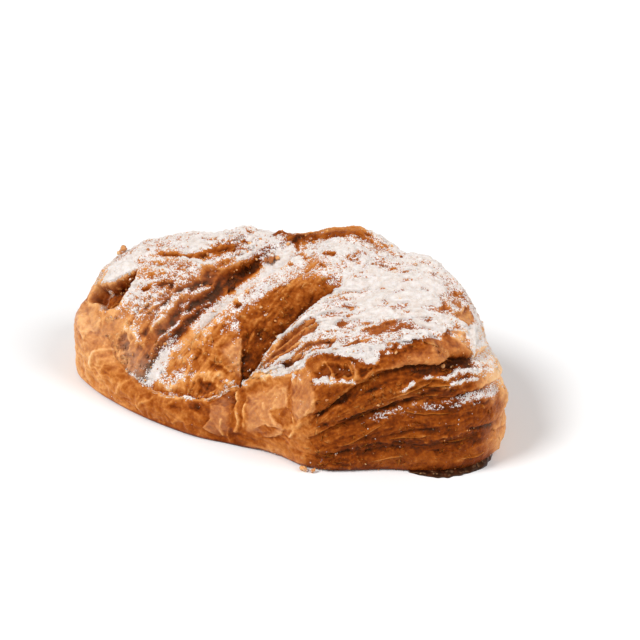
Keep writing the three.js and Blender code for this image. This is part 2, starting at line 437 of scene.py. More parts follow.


# ------------------------------------------------
# Drawn features: folds, cracks and torn sheets, each at its place on the skin
# ------------------------------------------------
# Places on the top are in plan, (x, y). Places on the wall are (length from the pinch, height).
# Folds: kind, height, width, change of sugar, change of bake (in a crease, painted shade), how far both
# changes reach, and the line.
# A rim is the thin pale edge of a torn skin, high on the left of its line as seen from outside, with a band
# of painted shade below it.
TOP_FOLDS = [
    # left end: the bubble in the tear, the fold beside it
    ("ridge", 0.8, 0.4, 0, -0.12, 0.6, [(-60, -13.5), (-58.5, -11), (-56, -10.5), (-55, -13)]),
    ("ridge", 0.7, 0.6, 0.3, -0.05, 1.0, [(-50, -18), (-46, -17.5), (-43, -19), (-41, -20.5)]),
    ("crease", 1.0, 0.7, -0.3, 0.15, 1.2, [(-43.5, -12), (-41, -15.5), (-41.5, -19)]),
    # first ridge: ledges, and the gaps under them bare of sugar and painted dark as shade
    ("ridge", 0.8, 0.6, 0.6, -0.1, 1.0, [(-51, -7), (-47, -6), (-43, -6)]),
    ("crease", 1.3, 0.7, -1.3, 0.22, 1.0, [(-50, 5), (-42, 5), (-36, 4), (-29, 5.5)]),
    ("crease", 0.9, 0.9, -0.9, 0.14, 1.3, [(-30, 6), (-24, 9.5), (-21.5, 16)]),
    ("ridge", 1.0, 1.4, 0.3, 0, 1.6, [(-46, 9.5), (-37, 8.5), (-30, 10.5), (-26, 16)]),
    ("crease", 0.8, 0.6, -0.9, 0.15, 0.9, [(-38, 14.5), (-31, 13), (-25, 15.5)]),
    ("ridge", 1.4, 1.2, 0.5, -0.05, 1.8, [(-42, 2.5), (-33, 2), (-25, 3), (-20, 8), (-17, 13)]),
    ("crease", 1.0, 1.5, -1.2, 0.15, 1.8, [(-31, 0), (-25, 1), (-20, 4.5), (-14, 11)]),
    # first slash: three terraces along it
    ("crease", 0.9, 0.8, -0.7, 0.2, 1.2, [(-48, -9), (-42, -6.5), (-36, -6)]),
    ("crease", 0.9, 0.8, -0.3, 0.18, 1.2, [(-41, -15), (-36.5, -8.5), (-30, -3), (-25, 0)]),
    ("crease", 0.9, 0.8, -0.3, 0.18, 1.2, [(-37.5, -18), (-32.5, -11), (-27, -5), (-22, 0)]),
    ("crease", 0.7, 0.8, -0.3, 0.18, 1.2, [(-33, -18), (-28, -10), (-23, -3)]),
    ("ridge", 0.8, 1.0, 0.18, -0.08, 1.3, [(-40.5, -18), (-34.5, -9), (-25, -1.5)]),
    ("ridge", 0.7, 0.8, 0.12, -0.08, 1.2, [(-35, -18), (-31, -11.5), (-25, -4)]),
    # second ridge: strands on its flank, thin folds and the drawn edge at its low end
    ("crease", 0.5, 0.5, -0.2, 0.12, 0.7, [(-26.5, -25), (-24, -21), (-18, -14), (-14, -10)]),
    ("crease", 0.4, 0.45, -0.2, 0.12, 0.7, [(-22.5, -26), (-19.5, -21), (-16, -17)]),
    ("ridge", 0.4, 0.45, 0.25, -0.12, 0.8, [(-23, -26.5), (-17, -25.5), (-11, -25), (-5.5, -24.5)]),
    ("ridge", 0.5, 0.5, 0.3, -0.12, 0.8, [(-31.5, -26.5), (-26, -27.5), (-23.5, -26), (-21, -24)]),
    ("rim", 0.9, 0.45, 0, -0.12, 0.7, [(-5, -24.5), (-6.5, -21.5), (-8, -18), (-9, -16.5)]),
    ("crease", 0.7, 0.6, -0.9, 0.2, 0.8, [(-21, 0), (-19, 2)]),
    ("crease", 0.6, 0.6, -0.9, 0.2, 0.8, [(-15, -10), (-11.5, -11.5)]),
    ("ridge", 0.5, 0.4, 0, -0.1, 0.6, [(-8, -18.5), (-4.5, -15)]),
    # third ridge: pleats gathered at the end of the second slash
    ("ridge", 0.7, 0.4, 0.5, -0.1, 0.7, [(3, -22), (8, -19.5), (14, -14.5), (20, -3)]),
    ("ridge", 1.1, 0.4, 0.5, -0.15, 0.7, [(-3, -26), (3, -24.5), (9, -22.5), (17, -21)]),
    ("ridge", 1.1, 0.5, 0.6, -0.15, 0.8, [(-3, -26.5), (5, -26), (14, -27), (22, -28.5)]),
    ("ridge", 0.9, 0.5, 0.6, -0.15, 0.8, [(17, -28), (22.5, -27.5), (28.5, -24)]),
    ("ridge", 0.5, 0.4, 0.2, -0.12, 0.6, [(3, -26), (8, -24.5), (15, -25)]),
    ("crease", 0.6, 0.5, -0.4, 0.2, 0.7, [(-2, -25.5), (6, -24), (14, -22)]),
    ("crease", 0.6, 0.5, -0.4, 0.2, 0.7, [(0, -26), (8, -25.3), (17, -26.2)]),
    ("ridge", 0.8, 1.1, 0.95, -0.05, 1.5, [(35.5, -29), (41.5, -26), (47.3, -21), (51, -14.5)]),
    ("crease", 0.4, 1.6, -0.42, 0.05, 2.6, [(30, -19.5), (38, -19.5), (45.5, -15.5), (51, -6)]),
    ("ridge", 0.7, 0.5, 0.7, -0.05, 0.9, [(39.5, -15.5), (45, -10.5), (50, -8.5), (55, -7)]),
    ("rim", 0.7, 0.5, 0.2, -0.15, 0.9, [(53, -2), (54, 3), (54, 8)]),
    # short cracks in the sugared top
    ("crease", 0.4, 0.5, -0.7, 0.15, 0.9, [(6.5, 9.5), (11, 9)]),
    ("crease", 0.4, 0.4, -0.6, 0.15, 0.8, [(-3, 12), (2, 8), (5.5, 9)]),
    ("crease", 0.4, 0.4, -0.6, 0.15, 0.7, [(-6, 8), (-1, 4)]),
    ("crease", 0.4, 0.4, -0.6, 0.15, 0.7, [(8, 4.5), (11, 2)]),
    ("crease", 0.4, 1.2, -0.6, 0.1, 2.2, [(16.5, 8.5), (17, 12), (18, 16)]),
    ("crease", 0.4, 1.1, -0.6, 0.1, 2.0, [(19.5, 10), (25.5, 13), (34.5, 9)]),
    ("crease", 0.5, 0.5, -0.6, 0.18, 0.9, [(41.5, 10), (42, 14.5), (44, 17)]),
    ("crease", 0.4, 0.4, -0.6, 0.18, 0.8, [(26.5, 21.5), (28, 26.5)]),
    ("crease", 0.4, 0.4, -0.5, 0.15, 0.8, [(31, -7), (34, -6.5)]),
    ("crease", 0.4, 0.4, -0.5, 0.15, 0.8, [(34.5, -3), (37.5, -0.5)]),
    ("crease", 0.4, 0.4, -0.5, 0.15, 0.8, [(41, 2.5), (45, 2)]),
    ("crease", 0.6, 0.9, -0.7, 0.1, 1.6, [(47.5, 2), (50, -2), (51, -6.5)]),
    ("crease", 0.4, 0.7, -0.6, 0.12, 1.2, [(48.5, 5.5), (50.5, 9)]),
    ("crease", 0.4, 0.6, -0.6, 0.12, 1.1, [(-8, 22), (-3, 14), (4, 12)]),
    ("crease", 0.4, 0.5, -0.6, 0.12, 0.9, [(28, 0), (35, 4), (42, 5)]),
    # raised brown lip along the back
    ("ridge", 1.0, 1.6, -1.2, 0.45, 2.8, [(-17, 24), (-9, 21.5), (1, 20.5), (9, 21)]),
    ("ridge", 0.9, 1.5, -0.55, 0.25, 2.5, [(7, 20.7), (11, 22), (17, 25.5)]),
]
WALL_FOLDS = [
    # folded front skin, from the pinch to the left
    ("ridge", 1.0, 0.5, 0.1, -0.22, 0.8, [(-27, 15), (-24.5, 12.5), (-22, 9), (-22, 4)]),
    ("ridge", 0.6, 0.4, 0.1, -0.18, 0.7, [(-21, 15), (-20, 11), (-19.5, 7)]),
    ("ridge", 0.4, 0.35, 0.1, -0.25, 0.6, [(-13, 14), (-14.5, 16)]),
    ("ridge", 0.5, 0.4, 0.1, -0.25, 0.6, [(-6, 11.5), (-3, 12.5), (-1.5, 14.5), (-2.5, 16.5)]),
    ("ridge", 0.5, 0.4, 0, -0.15, 0.7, [(-27, 9), (-27, 6), (-26, 3)]),
    ("ridge", 0.5, 0.4, 0, -0.15, 0.7, [(-24.5, 3), (-24, 7)]),
    ("ridge", 0.6, 0.5, 0, -0.15, 0.8, [(7, 26), (3, 19), (-1, 14), (-4, 8)]),
    ("ridge", 0.7, 0.5, 1.0, -0.15, 0.9, [(-29, 15), (-33, 13.5), (-36, 11.5), (-42, 10.5), (-48, 8.5)]),
    ("crease", 0.6, 0.8, 0, 0.15, 1.4, [(-35, 10), (-40, 9), (-47, 7)]),
    ("ridge", 0.5, 0.6, 0, -0.1, 1.2, [(-38, 7), (-41, 5), (-44, 2)]),
    ("ridge", 0.4, 0.6, 0, -0.1, 1.2, [(-52, 9), (-56, 6), (-58, 2)]),
    ("ridge", 0.4, 0.5, 0.1, -0.1, 0.9, [(-63, 12), (-66, 9), (-67, 4)]),
    ("ridge", 0.6, 0.5, 0, -0.15, 0.9, [(-78, 18), (-80, 13), (-79, 8)]),
    ("ridge", 0.8, 0.9, 0.8, -0.1, 1.2, [(-3, 24), (2, 26.5), (6, 29.5)]),
    # rims and threads round the pockets under the sugared edge
    ("ridge", 0.9, 0.7, 1.1, -0.12, 1.1, [(-29, 15), (-17, 20.5), (-7, 24.3), (1, 28), (6, 31)]),
    ("ridge", 0.6, 0.4, 0.9, -0.15, 0.8, [(5, 27.5), (9, 29), (15, 30), (20, 30)]),
    ("ridge", 0.9, 0.4, 0.5, -0.2, 0.6, [(17.5, 34.5), (18, 33), (16.5, 30)]),
    ("ridge", 0.7, 0.35, 0, -0.15, 0.5, [(10.5, 32.5), (11.5, 31), (10.5, 29.5)]),
    # cut end: the gap under the top layer, painted dark as shade, torn flake edges, sugared crest, thin
    # fissures
    ("crease", 0.5, 0.9, -0.4, 0.16, 1.3, [(33, 33.8), (40, 35), (50, 34.5), (60, 32.5)]),
    ("crease", 0.7, 0.5, -0.1, 0.2, 0.8, [(4, 18), (12, 23), (19, 27), (27, 31)]),
    ("crease", 0.6, 0.8, -0.3, 0.18, 1.2, [(4, 14), (10, 17), (19, 19.5), (28, 23), (38, 28.5), (52, 28)]),
    ("ridge", 1.1, 0.45, 1.25, -0.25, 0.75,
     [(27, 27), (33, 30.5), (37, 32.5), (44, 33), (52, 32), (60, 30.5)]),
    ("ridge", 0.7, 0.35, 1.05, -0.2, 0.7, [(40, 30.5), (48, 30.5), (57, 29)]),
    ("ridge", 0.5, 1.5, 0, -0.12, 1.9, [(24, 17), (30, 21.5), (38, 25), (44, 26), (51, 25), (60, 22.5)]),
    ("crease", 0.5, 0.5, 0, 0.16, 0.7, [(52, 24), (60, 21.5)]),
    ("crease", 0.5, 0.6, 0, 0.15, 0.9, [(48, 16), (54, 15), (61, 13)]),
    ("ridge", 0.4, 0.4, 0.2, -0.12, 0.6, [(37, 12), (44, 14.5)]),
    ("crease", 0.4, 0.6, 0, 0.1, 1.0, [(22, 12), (31, 14.5), (41, 17)]),
    ("crease", 0.4, 0.6, 0, 0.1, 1.0, [(12, 7), (22, 10), (33, 11)]),
    # the corner: its upright edge and thin folds
    ("ridge", 0.8, 0.5, 0.6, -0.2, 0.9, [(72, 38), (65, 36.5), (61, 34), (59.5, 30)]),
    ("ridge", 0.6, 0.4, 0.5, -0.2, 0.7, [(66, 40), (74, 36.5)]),
    ("ridge", 0.5, 0.4, 0.3, -0.2, 0.6, [(57, 40), (60.5, 37)]),
]
# Sheets: how far they stand out or lie in, how far they take to blend in, the number of sides that are torn,
# counted from the first corner, change of sugar, of haze and of bake, and the corners.
TOP_SHEETS = [
    (-4.6, 2.0, 5, -1.2, -0.1, 0.20,
     [(-66, -6), (-58, -6), (-53, -3), (-51.5, -1), (-51.5, -7), (-53.5, -13), (-58, -14), (-68, -14)]),
    (0.9, 4.0, 3, 0.75, 0.1, -0.02, [(-67, -6), (-58, -6), (-53, -3), (-51.5, -0.5), (-55, 3), (-67, 3)]),
    (-0.7, 0.8, 3, -0.2, 0, 0.08, [(-51, -19), (-48.5, -18), (-45, -20), (-46, -21.5), (-50, -21)]),
    (0.6, 2.2, 3, 0, 0.1, -0.02,
     [(-5.5, -24), (-7, -20.5), (-8.5, -17), (-11, -17), (-15.5, -21), (-10, -23)]),
    (-0.4, 0.8, 3, -0.2, -0.1, 0.1, [(-16.5, -23.5), (-13, -22.7), (-9, -23), (-10, -24.2), (-16, -24.7)]),
    (-0.5, 0.8, 3, -0.2, -0.1, 0.1, [(-18.5, -26.5), (-13, -26), (-12.5, -27.5), (-15, -29), (-18.5, -29)]),
    (-0.8, 0.8, 3, -0.9, 0, 0, [(3, -23.5), (8, -19), (15, -16), (18, -18.5), (16, -21.5), (9, -23.3)]),
    (-0.8, 0.8, 3, -0.8, 0, 0.02, [(7, -25.3), (14, -23.3), (24, -22.5), (24, -26), (13, -26.7)]),
    (-0.5, 2.5, 2, -0.3, 0, 0.04, [(30, -20), (39, -16), (47, -11), (47, -18), (40, -22), (34, -22.5)]),
    (-0.6, 1.0, 3, -0.5, 0, 0.06, [(27, -25), (31, -22.5), (34, -25), (31, -28)]),
    (-0.5, 0.8, 2, -0.6, 0, 0.04, [(21.5, -18.5), (25, -15), (28.5, -13), (25, -19)]),
    (-0.4, 0.6, 2, -0.5, 0, 0, [(21, -10), (26.5, -9), (25, -12), (22, -12)]),
    (-0.4, 0.8, 3, -1.3, 0.05, -0.16, [(53.5, -3), (54, 4), (54.5, 9), (58, 5), (58, -3)]),
]
WALL_SHEETS = [
    (0.35, 3.0, 3, 0, 0.08, -0.04,
     [(-35, 11), (-31, 8), (-33, 4), (-27, 2.5), (-22, 4), (-25, 12), (-30, 14)]),
    (0.5, 3.0, 5, 0.1, 0.09, -0.03,
     [(-5, 24), (-4, 18), (-11, 14.5), (-5, 11.5), (-6, 8.5), (-13, 6), (-19, 5), (-20, 11), (-23, 16)]),
    (-0.2, 2.0, 2, 0, -0.1, 0.09, [(-16, 8), (-12, 11), (-6, 11), (-8, 8), (-12, 6.5)]),
    (0.3, 1.5, 2, 0, 0.05, 0.02, [(7, 27), (3, 19), (-1, 15), (-3, 18), (0, 22)]),
    (0.5, 3.0, 3, 0.1, 0.06, 0.04, [(6, 31), (5.5, 26), (6, 21), (-1, 16), (-4, 20), (-4, 25)]),
    (-1.2, 0.4, 4, -1.0, 0, -0.1, [(6, 30), (10, 32.3), (16.5, 33.8), (17, 32), (10, 30), (6.5, 28.5)]),
    (-1.0, 0.4, 3, -1.0, 0, -0.06, [(18.8, 34), (23.5, 35.5), (21, 33), (18.3, 31.3)]),
    (-0.8, 1.0, 3, -0.6, 0, -0.05, [(60, 40), (65, 38.5), (63, 34.5), (60, 37)]),
    (0.4, 2.0, 2, -0.5, 0.04, -0.1,
     [(22, 33.5), (37, 37), (52, 36), (61, 34), (61, 39), (47, 42.5), (33, 40)]),
    (0.15, 2.0, 4, 0.95, 0.1, -0.1, [(10, 34), (18, 35), (24, 36), (30, 39), (37, 41.5), (36, 47), (10, 43)]),
    (0.3, 2.5, 3, 0, 0.08, -0.06, [(-90, 23), (-87, 20), (-85, 16), (-90, 17), (-95, 20), (-96, 24)]),
    (-4.2, 1.5, 1, -0.9, -0.1, 0.20, [(-105, 27), (-104, 34), (-94, 34), (-94.5, 25), (-99, 23)]),
]
FOLD_STEPS = 30  # straight pieces that a fold's line is drawn with
SHEET_STEP = 0.45  # widths of a torn side's step, of the pale thread on it and of the darker band below it
SHEET_THREAD = 0.35
SHEET_SHADE = 0.8


def fold_points(corners, count=FOLD_STEPS):
    """Points evenly spread along a smooth line through the corners."""
    corners = np.array(corners, float)
    places = np.concatenate([[0], np.cumsum(np.linalg.norm(np.diff(corners, axis=0), axis=1))])
    at = np.linspace(0, places[-1], count + 1)
    return np.stack([through(list(zip(places, corners[:, k])), at) for k in (0, 1)], -1)


def side_distance(flat, start, end):
    """Distance from flat places to a straight side, how far to its left, and the place along it, 0 to 1."""
    step = end - start
    off = flat - start
    t = np.clip(off @ step / (step @ step), 0, 1)
    off = off - t[:, None] * step
    left = (step[0] * off[:, 1] - step[1] * off[:, 0]) / np.linalg.norm(step)
    return np.linalg.norm(off, axis=1), left, t


def fold_distance(flat, line):
    """Distance to a line of many sides, how far to its left, and the place along it, 0 to 1."""
    sides = [side_distance(flat, start, end) for start, end in zip(line, line[1:])]
    distance = np.stack([side[0] for side in sides])
    nearest = distance.argmin(0)
    pick = np.arange(len(flat))
    left = np.stack([side[1] for side in sides])[nearest, pick]
    along = (nearest + np.stack([side[2] for side in sides])[nearest, pick]) / len(sides)
    return distance[nearest, pick], left, along


def fold_profile(kind, height, width, distance, left, reach):
    """Height of a fold: a bell for a ridge, a sharper pit for a crease, high on one side for a rim."""
    if kind == "ridge":
        return height * np.exp(-((distance / width) ** 2))
    if kind == "crease":
        return -height * np.exp(-((distance / width) ** 1.5))
    beyond_end = np.exp(-(np.maximum(distance - np.abs(left), 0) ** 2) / width**2)
    raised = 1 / (1 + np.exp(-np.clip(left / (0.16 * width), -30, 30)))
    steep = 0.55 * np.exp(-np.maximum(left, 0) / (0.8 * width))
    drawn_out = 0.25 * np.exp(-np.maximum(left, 0) / (3 * reach))
    low = 0.35 * np.exp(np.minimum(left, 0) / (1.6 * width))
    return height * ((steep + drawn_out) * raised - low * (1 - raised)) * beyond_end


def add_fold(total, flat, uneven, fold):
    """Adds one fold's displacement, sugar and bake, with painted shade in creases and below rims, to the
    totals at the flat places near it.
    """
    kind, height, width, sugar, bake, reach, corners = fold
    line = fold_points(corners)
    margin = 4 * max(width, reach) + 2
    near = np.flatnonzero(np.all((flat > line.min(0) - margin) & (flat < line.max(0) + margin), axis=1))
    if len(near) == 0:
        return
    distance, left, along = fold_distance(flat[near], line)
    taper = smooth(0, 0.12, along) * (1 - smooth(0.88, 1, along)) * uneven[near]
    total[0, near] += fold_profile(kind, height, width, distance, left, reach) * taper
    spread = np.exp(-((distance / reach) ** 2)) * taper
    if kind == "rim":
        thread = np.exp(-(((left - 0.15 * width) / (0.7 * width)) ** 2)) * taper * (distance < 2 * width)
        # Painted shade: a darker band just below the rim's raised edge.
        below = np.exp(-(((left + width) / (0.9 * width)) ** 2)) * taper * (distance < 3 * width)
        total[1, near] += sugar * thread
        total[2, near] += bake * thread + 0.12 * below
    else:
        total[1, near] += sugar * spread
        total[2, near] += bake * spread


def add_sheet(total, flat, uneven, sheet):
    """Adds one sheet: a step at its torn sides, with a pale thread, that blends in along the others."""
    height, blend, torn_sides, sugar, haze, bake, corners = sheet
    corners = np.array(corners, float)
    near = np.flatnonzero(np.all((flat > corners.min(0) - 3) & (flat < corners.max(0) + 3), axis=1))
    if len(near) == 0:
        return
    place = flat[near]
    inside = np.zeros(len(near), bool)
    to_torn = np.full(len(near), np.inf)
    to_rest = np.full(len(near), np.inf)
    for k, (start, end) in enumerate(zip(corners, np.roll(corners, -1, 0))):
        distance = side_distance(place, start, end)[0]
        if k < torn_sides:
            to_torn = np.minimum(to_torn, distance)
        else:
            to_rest = np.minimum(to_rest, distance)
        level = (place[:, 1] - start[1]) / (end[1] - start[1] + 1e-9)
        inside ^= (level >= 0) & (level < 1) & (place[:, 0] < start[0] + level * (end[0] - start[0]))
    body = inside * smooth(0, blend, to_rest) * smooth(0, SHEET_STEP, to_torn)
    edge = uneven[near] * smooth(0, 1.5, to_rest)
    thread_side = inside if height > 0 else ~inside
    thread = thread_side * np.exp(-((to_torn / SHEET_THREAD) ** 2)) * edge
    shade = ~thread_side * np.exp(-((to_torn / SHEET_SHADE) ** 2)) * edge
    total[0, near] += height * body + 0.08 * thread
    total[1, near] += sugar * body
    total[2, near] += bake * body - 0.09 * thread + 0.06 * shade
    total[3, near] += haze * body
    total[4, near] += body


def drawn_features(points, flat, folds, sheets):
    """Sum of a skin's folds and sheets: displacement, changes of sugar, bake (painted shade included) and
    haze, and torn thin skin.
    """
    solid = points.reshape(-1, 3)
    sway = stack(noise(solid, 4.0, 41), noise(solid, 4.0, 42))
    shiver = stack(noise(solid, 1.4, 44), noise(solid, 1.4, 45))
    wavy = flat.reshape(-1, 2) + 0.6 * sway + 0.3 * shiver
    uneven = 0.45 + 0.7 * smooth(-0.4, 0.4, noise(solid, 3.5, 47))
    total = np.zeros((5, len(wavy)))
    for fold in folds:
        add_fold(total, wavy, uneven, fold)
    for sheet in sheets:
        add_sheet(total, wavy, uneven, sheet)
    return total.reshape((5,) + points.shape[:-1])


# ------------------------------------------------
# Relief, baking and sugar over the whole skin
# ------------------------------------------------
# Stations along the outline, (length from the pinch, value).
SEAM_LIP = [  # how far the front skin's upper edge stands up
    (-110, 0.0), (-80, 0.0), (-66, 0.2), (-56, 0.5), (-46, 0.5), (-40, 0.3), (-30, 0.45), (0, 0.5),
    (24, 0.6), (36, 0.2), (44, 0.0), (235, 0.0),
]
SEAM_SHOWS = [  # how clearly that edge shows
    (-110, 0.0), (-70, 0.0), (-60, 0.4), (-50, 0.9), (24, 1.0), (34, 0.4), (42, 0.0), (235, 0.0),
]
FRONT_BAKE = [  # change of bake along the folded front skin
    (-110, 0.10), (-97, -0.02), (-88, -0.06), (-77, -0.04), (-66, 0.10), (-56, 0.16), (-44, 0.22),
    (-34, 0.28), (-25, 0.26), (-17, 0.14), (-8, 0.12), (0, 0.14),
]
# Plan line, (y, x), up to which a thin film covers the low end of the second ridge.
FILM_EDGE = [(-27, -5), (-24.5, -5.5), (-22.5, -6.5), (-19.5, -7.5), (-16.5, -9), (-13, -10.5), (-10, -13)]
SLASH_1_FLOOR = -4.8  # where the first slash is deepest, across it: the skin fills it in beyond
CREST_PLACE = 1.84  # layer place of the sugared crest on the cut end
SUGAR_PATCHES = [  # plan place on the top, radius, sugar added or taken off
    (-50, 12, 12, -0.08), (-34, 18, 13, 0.15), (-14, 17, 10, 0.15), (-8, -4, 6, 0.2), (-16, -11, 5, 0.2),
    (-24.5, -9.5, 2.2, 0.3), (12, 8, 10, 0.15), (28, 5, 12, 0.15), (26, -12, 9, 0.15), (42, -2, 12, 0.1),
    (36, 16, 12, 0.1), (-57, 1, 4, 0.1), (-44, -17, 6, -0.28), (-38.5, -18.5, 4, -0.2),
    (8, -6, 3.5, -0.35), (28, -28, 3, -0.25), (-50, -9, 4, 0.2), (2, 6, 5, 0.1), (-58, 8, 6, 0.1),
    (-34.5, -24, 3, 0.9), (-33.5, -20.5, 2.2, 0.5), (20, 24, 4, -0.5), (6, 26, 7, -1.0),
    (-6, 25, 6, -0.9), (5, 4, 4, -0.5), (-22, 3, 5, -0.2), (55, 4, 5, -0.5), (56, -8, 4, -0.4),
    (-14, -24, 6, -0.5), (3, -25, 5, -0.3), (-10, -4, 3, -0.2), (45, -22, 4, -0.2),
]


def places_on_skin(points, normals, s, share, place):
    """Where the points of a skin lie, and the patterns that all its regions share."""
    x, y, z = np.moveaxis(points, -1, 0)
    ox, oy = outline_at(s)
    across_1, open_1 = slash_place(SLASH_1, x, y)
    across_2, open_2 = slash_place(SLASH_2, x, y)
    crumb = layers_of_noise(points, 1.9, 10, 3)
    return SimpleNamespace(
        points=points, x=x, y=y, z=z, s=s, place=place,
        plan=stack(x + SHIFT[0], y + SHIFT[1]),
        looks_up=normals[..., 2],
        arc=signed_arc(s),
        inside=(seam_share(s) - share) * np.hypot(ox - CROWN[0], oy - CROWN[1]),
        across_1=across_1, open_1=open_1, across_2=across_2, open_2=open_2,
        warp=1.2 * layers_of_noise(points, 9.0, 1, 2),
        crumb=crumb,
        grain=creased(points + 0.3 * crumb[..., None], 1.5, 5),
    )


def regions(at):
    """How much of each kind of surface the points are on, each from 0 to 1."""
    top = smooth(-0.3, 0.3, at.inside)
    wall = 1 - top
    wandering = at.arc + 5 * noise(at.points, 11.0, 31) + 3 * noise(at.points, 4.0, 32)
    past_front = smooth(0, 9, at.arc)
    past_cut = smooth(54, 68, wandering)
    past_side = smooth(92, 125, wandering)
    past_back = smooth(-110, -96, wandering)
    past_floor = at.across_1 - SLASH_1_FLOOR
    corner = wall * smooth(54, 66, wandering) * (1 - smooth(72, 92, wandering))
    left_end = smooth(-112, -98, at.arc) * (1 - smooth(-70, -56, at.arc))
    left_wall = wall * smooth(8, 19, at.z + 3 * noise(at.points, 6.0, 40))
    covered = smooth(0.35, -0.35, at.x - through(FILM_EDGE, at.y)) * smooth(-10, -16, at.y)
    low_film = top * smooth(0, 2, at.across_1) * covered
    slash_1 = top * at.open_1 * smooth(-21, -16, at.across_1)
    slash_2 = top * at.open_2 * smooth(-14.5, -11, at.across_2) * (1 - low_film)
    second = top * smooth(-0.6, 1.2, past_floor) * (1 - smooth(-4, -1, at.across_2))
    return SimpleNamespace(
        top=top,
        lobe=top * left_end * (1 - smooth(5, 14, at.inside)),
        left_skin=left_end * (top * (1 - smooth(3, 12, at.inside)) + left_wall),
        low_film=low_film,
        fill_1=top * at.open_1 * smooth(0, 4, at.inside),
        slash_1=slash_1 * (1 - smooth(-0.8, 0.8, past_floor)),
        slash_2=slash_2 * (1 - smooth(-0.8, 0.4, at.across_2)),
        first=top * (1 - smooth(-19, -15, at.across_1)),
        second=second * (1 - smooth(8, 16, at.y)),
        third=top * smooth(-1, 1.5, at.across_2) * (1 - smooth(4, 14, at.y)) * smooth(-12, -8, at.x),
        back_top=top * smooth(6, 14, at.y),
        front=wall * past_back * (1 - past_front),
        cut=wall * past_front * (1 - past_cut),
        side=wall * past_cut * (1 - past_side),
        dusty_and_lit=corner * smooth(12, 30, at.z + 4 * noise(at.points, 7.0, 36)),
        back=wall * past_side + wall * (1 - past_back),
    )


def plain_skin(at, on):
    """The skin before its features: lumps of all sizes, an uneven bake, sugar in drifts where it looks up."""
    lumps = 0.35 * noise(at.points, 11.0, 2) + 0.25 * noise(at.points, 5.0, 3)
    lumps += 0.16 * noise(at.points, 2.4, 4)
    drifts = 0.22 * noise(at.points, 9.0, 25) + 0.22 * noise(at.points, 3.6, 26)
    drifts += 0.18 * noise(at.points, 1.5, 27)
    sugar = 0.54 * smooth(0.2, 0.9, at.looks_up) + drifts * (1 - 0.7 * on.slash_1 - 0.6 * on.cut)
    for x, y, radius, change in SUGAR_PATCHES:
        distance = np.linalg.norm(at.plan - (x, y), axis=-1)
        sugar = sugar + on.top * change * np.exp(-((distance / radius) ** 2))
    loose = 0.2 * on.top + 0.9 * on.cut + 0.9 * on.side + 0.5 * on.back
    return SimpleNamespace(
        height=lumps + 0.05 * layers_of_noise(at.points, 1.1, 5, 2),
        bake=0.44 + 0.08 * noise(at.points, 14.0, 6) + 0.06 * noise(at.points, 4.0, 7),
        sugar=sugar,
        haze=np.zeros_like(sugar),
        film=np.zeros_like(sugar),
        loose=loose + 0.5 * on.slash_1 + 0.3 * on.slash_2 + 0.5 * on.lobe,
    )


def first_slash(look, at, on):
    """Crumbly terraces that run along the slash, dusted with sugar, its floor moved over to the left."""
    across = at.across_1 + at.warp
    terraces = creased(stack(across / 3.0, at.y / 24, at.z / 60), 1.0, 8)
    terraces += 0.5 * creased(stack(across / 1.3, at.y / 11, at.z / 30), 1.0, 9)
    deep_and_shaded = smooth(-11, -5, at.across_1)
    filled = 2.2 * np.exp(-((at.across_1 / 3.0) ** 2))
    dug = 0.9 * np.exp(-(((at.across_1 + 6.2) / 1.7) ** 2))
    bare = 0.03 + 0.10 * smooth(-10, -6, at.across_1) + 0.24 * smooth(-16, 2, at.plan[..., 1])
    look.height += on.slash_1 * (0.4 * terraces + 0.16 * at.crumb + 0.14 * at.grain)
    look.height += on.fill_1 * (filled - dug)
    # Painted shade: darker towards the slash's floor.
    look.bake += on.slash_1 * (0.10 + 0.30 * deep_and_shaded - 0.06 * terraces - 0.03 * at.crumb)
    look.sugar += on.slash_1 * (0.20 * terraces - bare * (1 - 0.3 * at.crumb))
    look.haze += 0.06 * on.slash_1 * smooth(8, -6, at.y) * (1 - 0.5 * deep_and_shaded)


def second_slash(look, at, on):
    """A rough and crumbly wall with little sugar, darker towards the slash's floor: partly caramelised crust,
    partly painted shade.
    """
    rough = creased(stack((at.across_2 + at.warp) / 3.6, at.y / 7, at.z / 6), 1.0, 11)
    deep_and_shaded = smooth(-9, -1, at.across_2)
    look.height += on.slash_2 * (0.3 * rough + 0.18 * at.crumb + 0.1 * at.grain)
    # Darker towards the slash's floor: partly caramelised crust, partly painted shade.
    look.bake += on.slash_2 * (0.16 + 0.28 * deep_and_shaded - 0.06 * rough - 0.06 * at.crumb)
    look.sugar -= 0.6 * on.slash_2 * (1 - 0.3 * at.crumb)


def second_ridge(look, at, on):
    """Smooth skin drawn out in strands along the slash, palest on its flank, its crest sugared higher up."""
    drawn_out = stack((at.across_1 + at.warp) / 2.0, at.y / 24, at.z / 40)
    strands = creased(drawn_out, 1.0, 12) + 0.5 * creased(drawn_out, 0.45, 13)
    flank = smooth(10, 5, at.across_1)
    crest = np.exp(-(((at.across_1 + 0.5) / 3.2) ** 2)) * on.second
    look.height += on.second * (0.22 * strands + 0.1 * at.crumb)
    look.bake += on.second * (0.05 - 0.15 * flank * smooth(-27, -15, at.y) - 0.06 * strands)
    look.bake += 0.10 * on.low_film
    look.sugar += crest * (0.8 * smooth(-15, -5, at.plan[..., 1]) - 0.35)
    look.film += 0.7 * flank * on.second


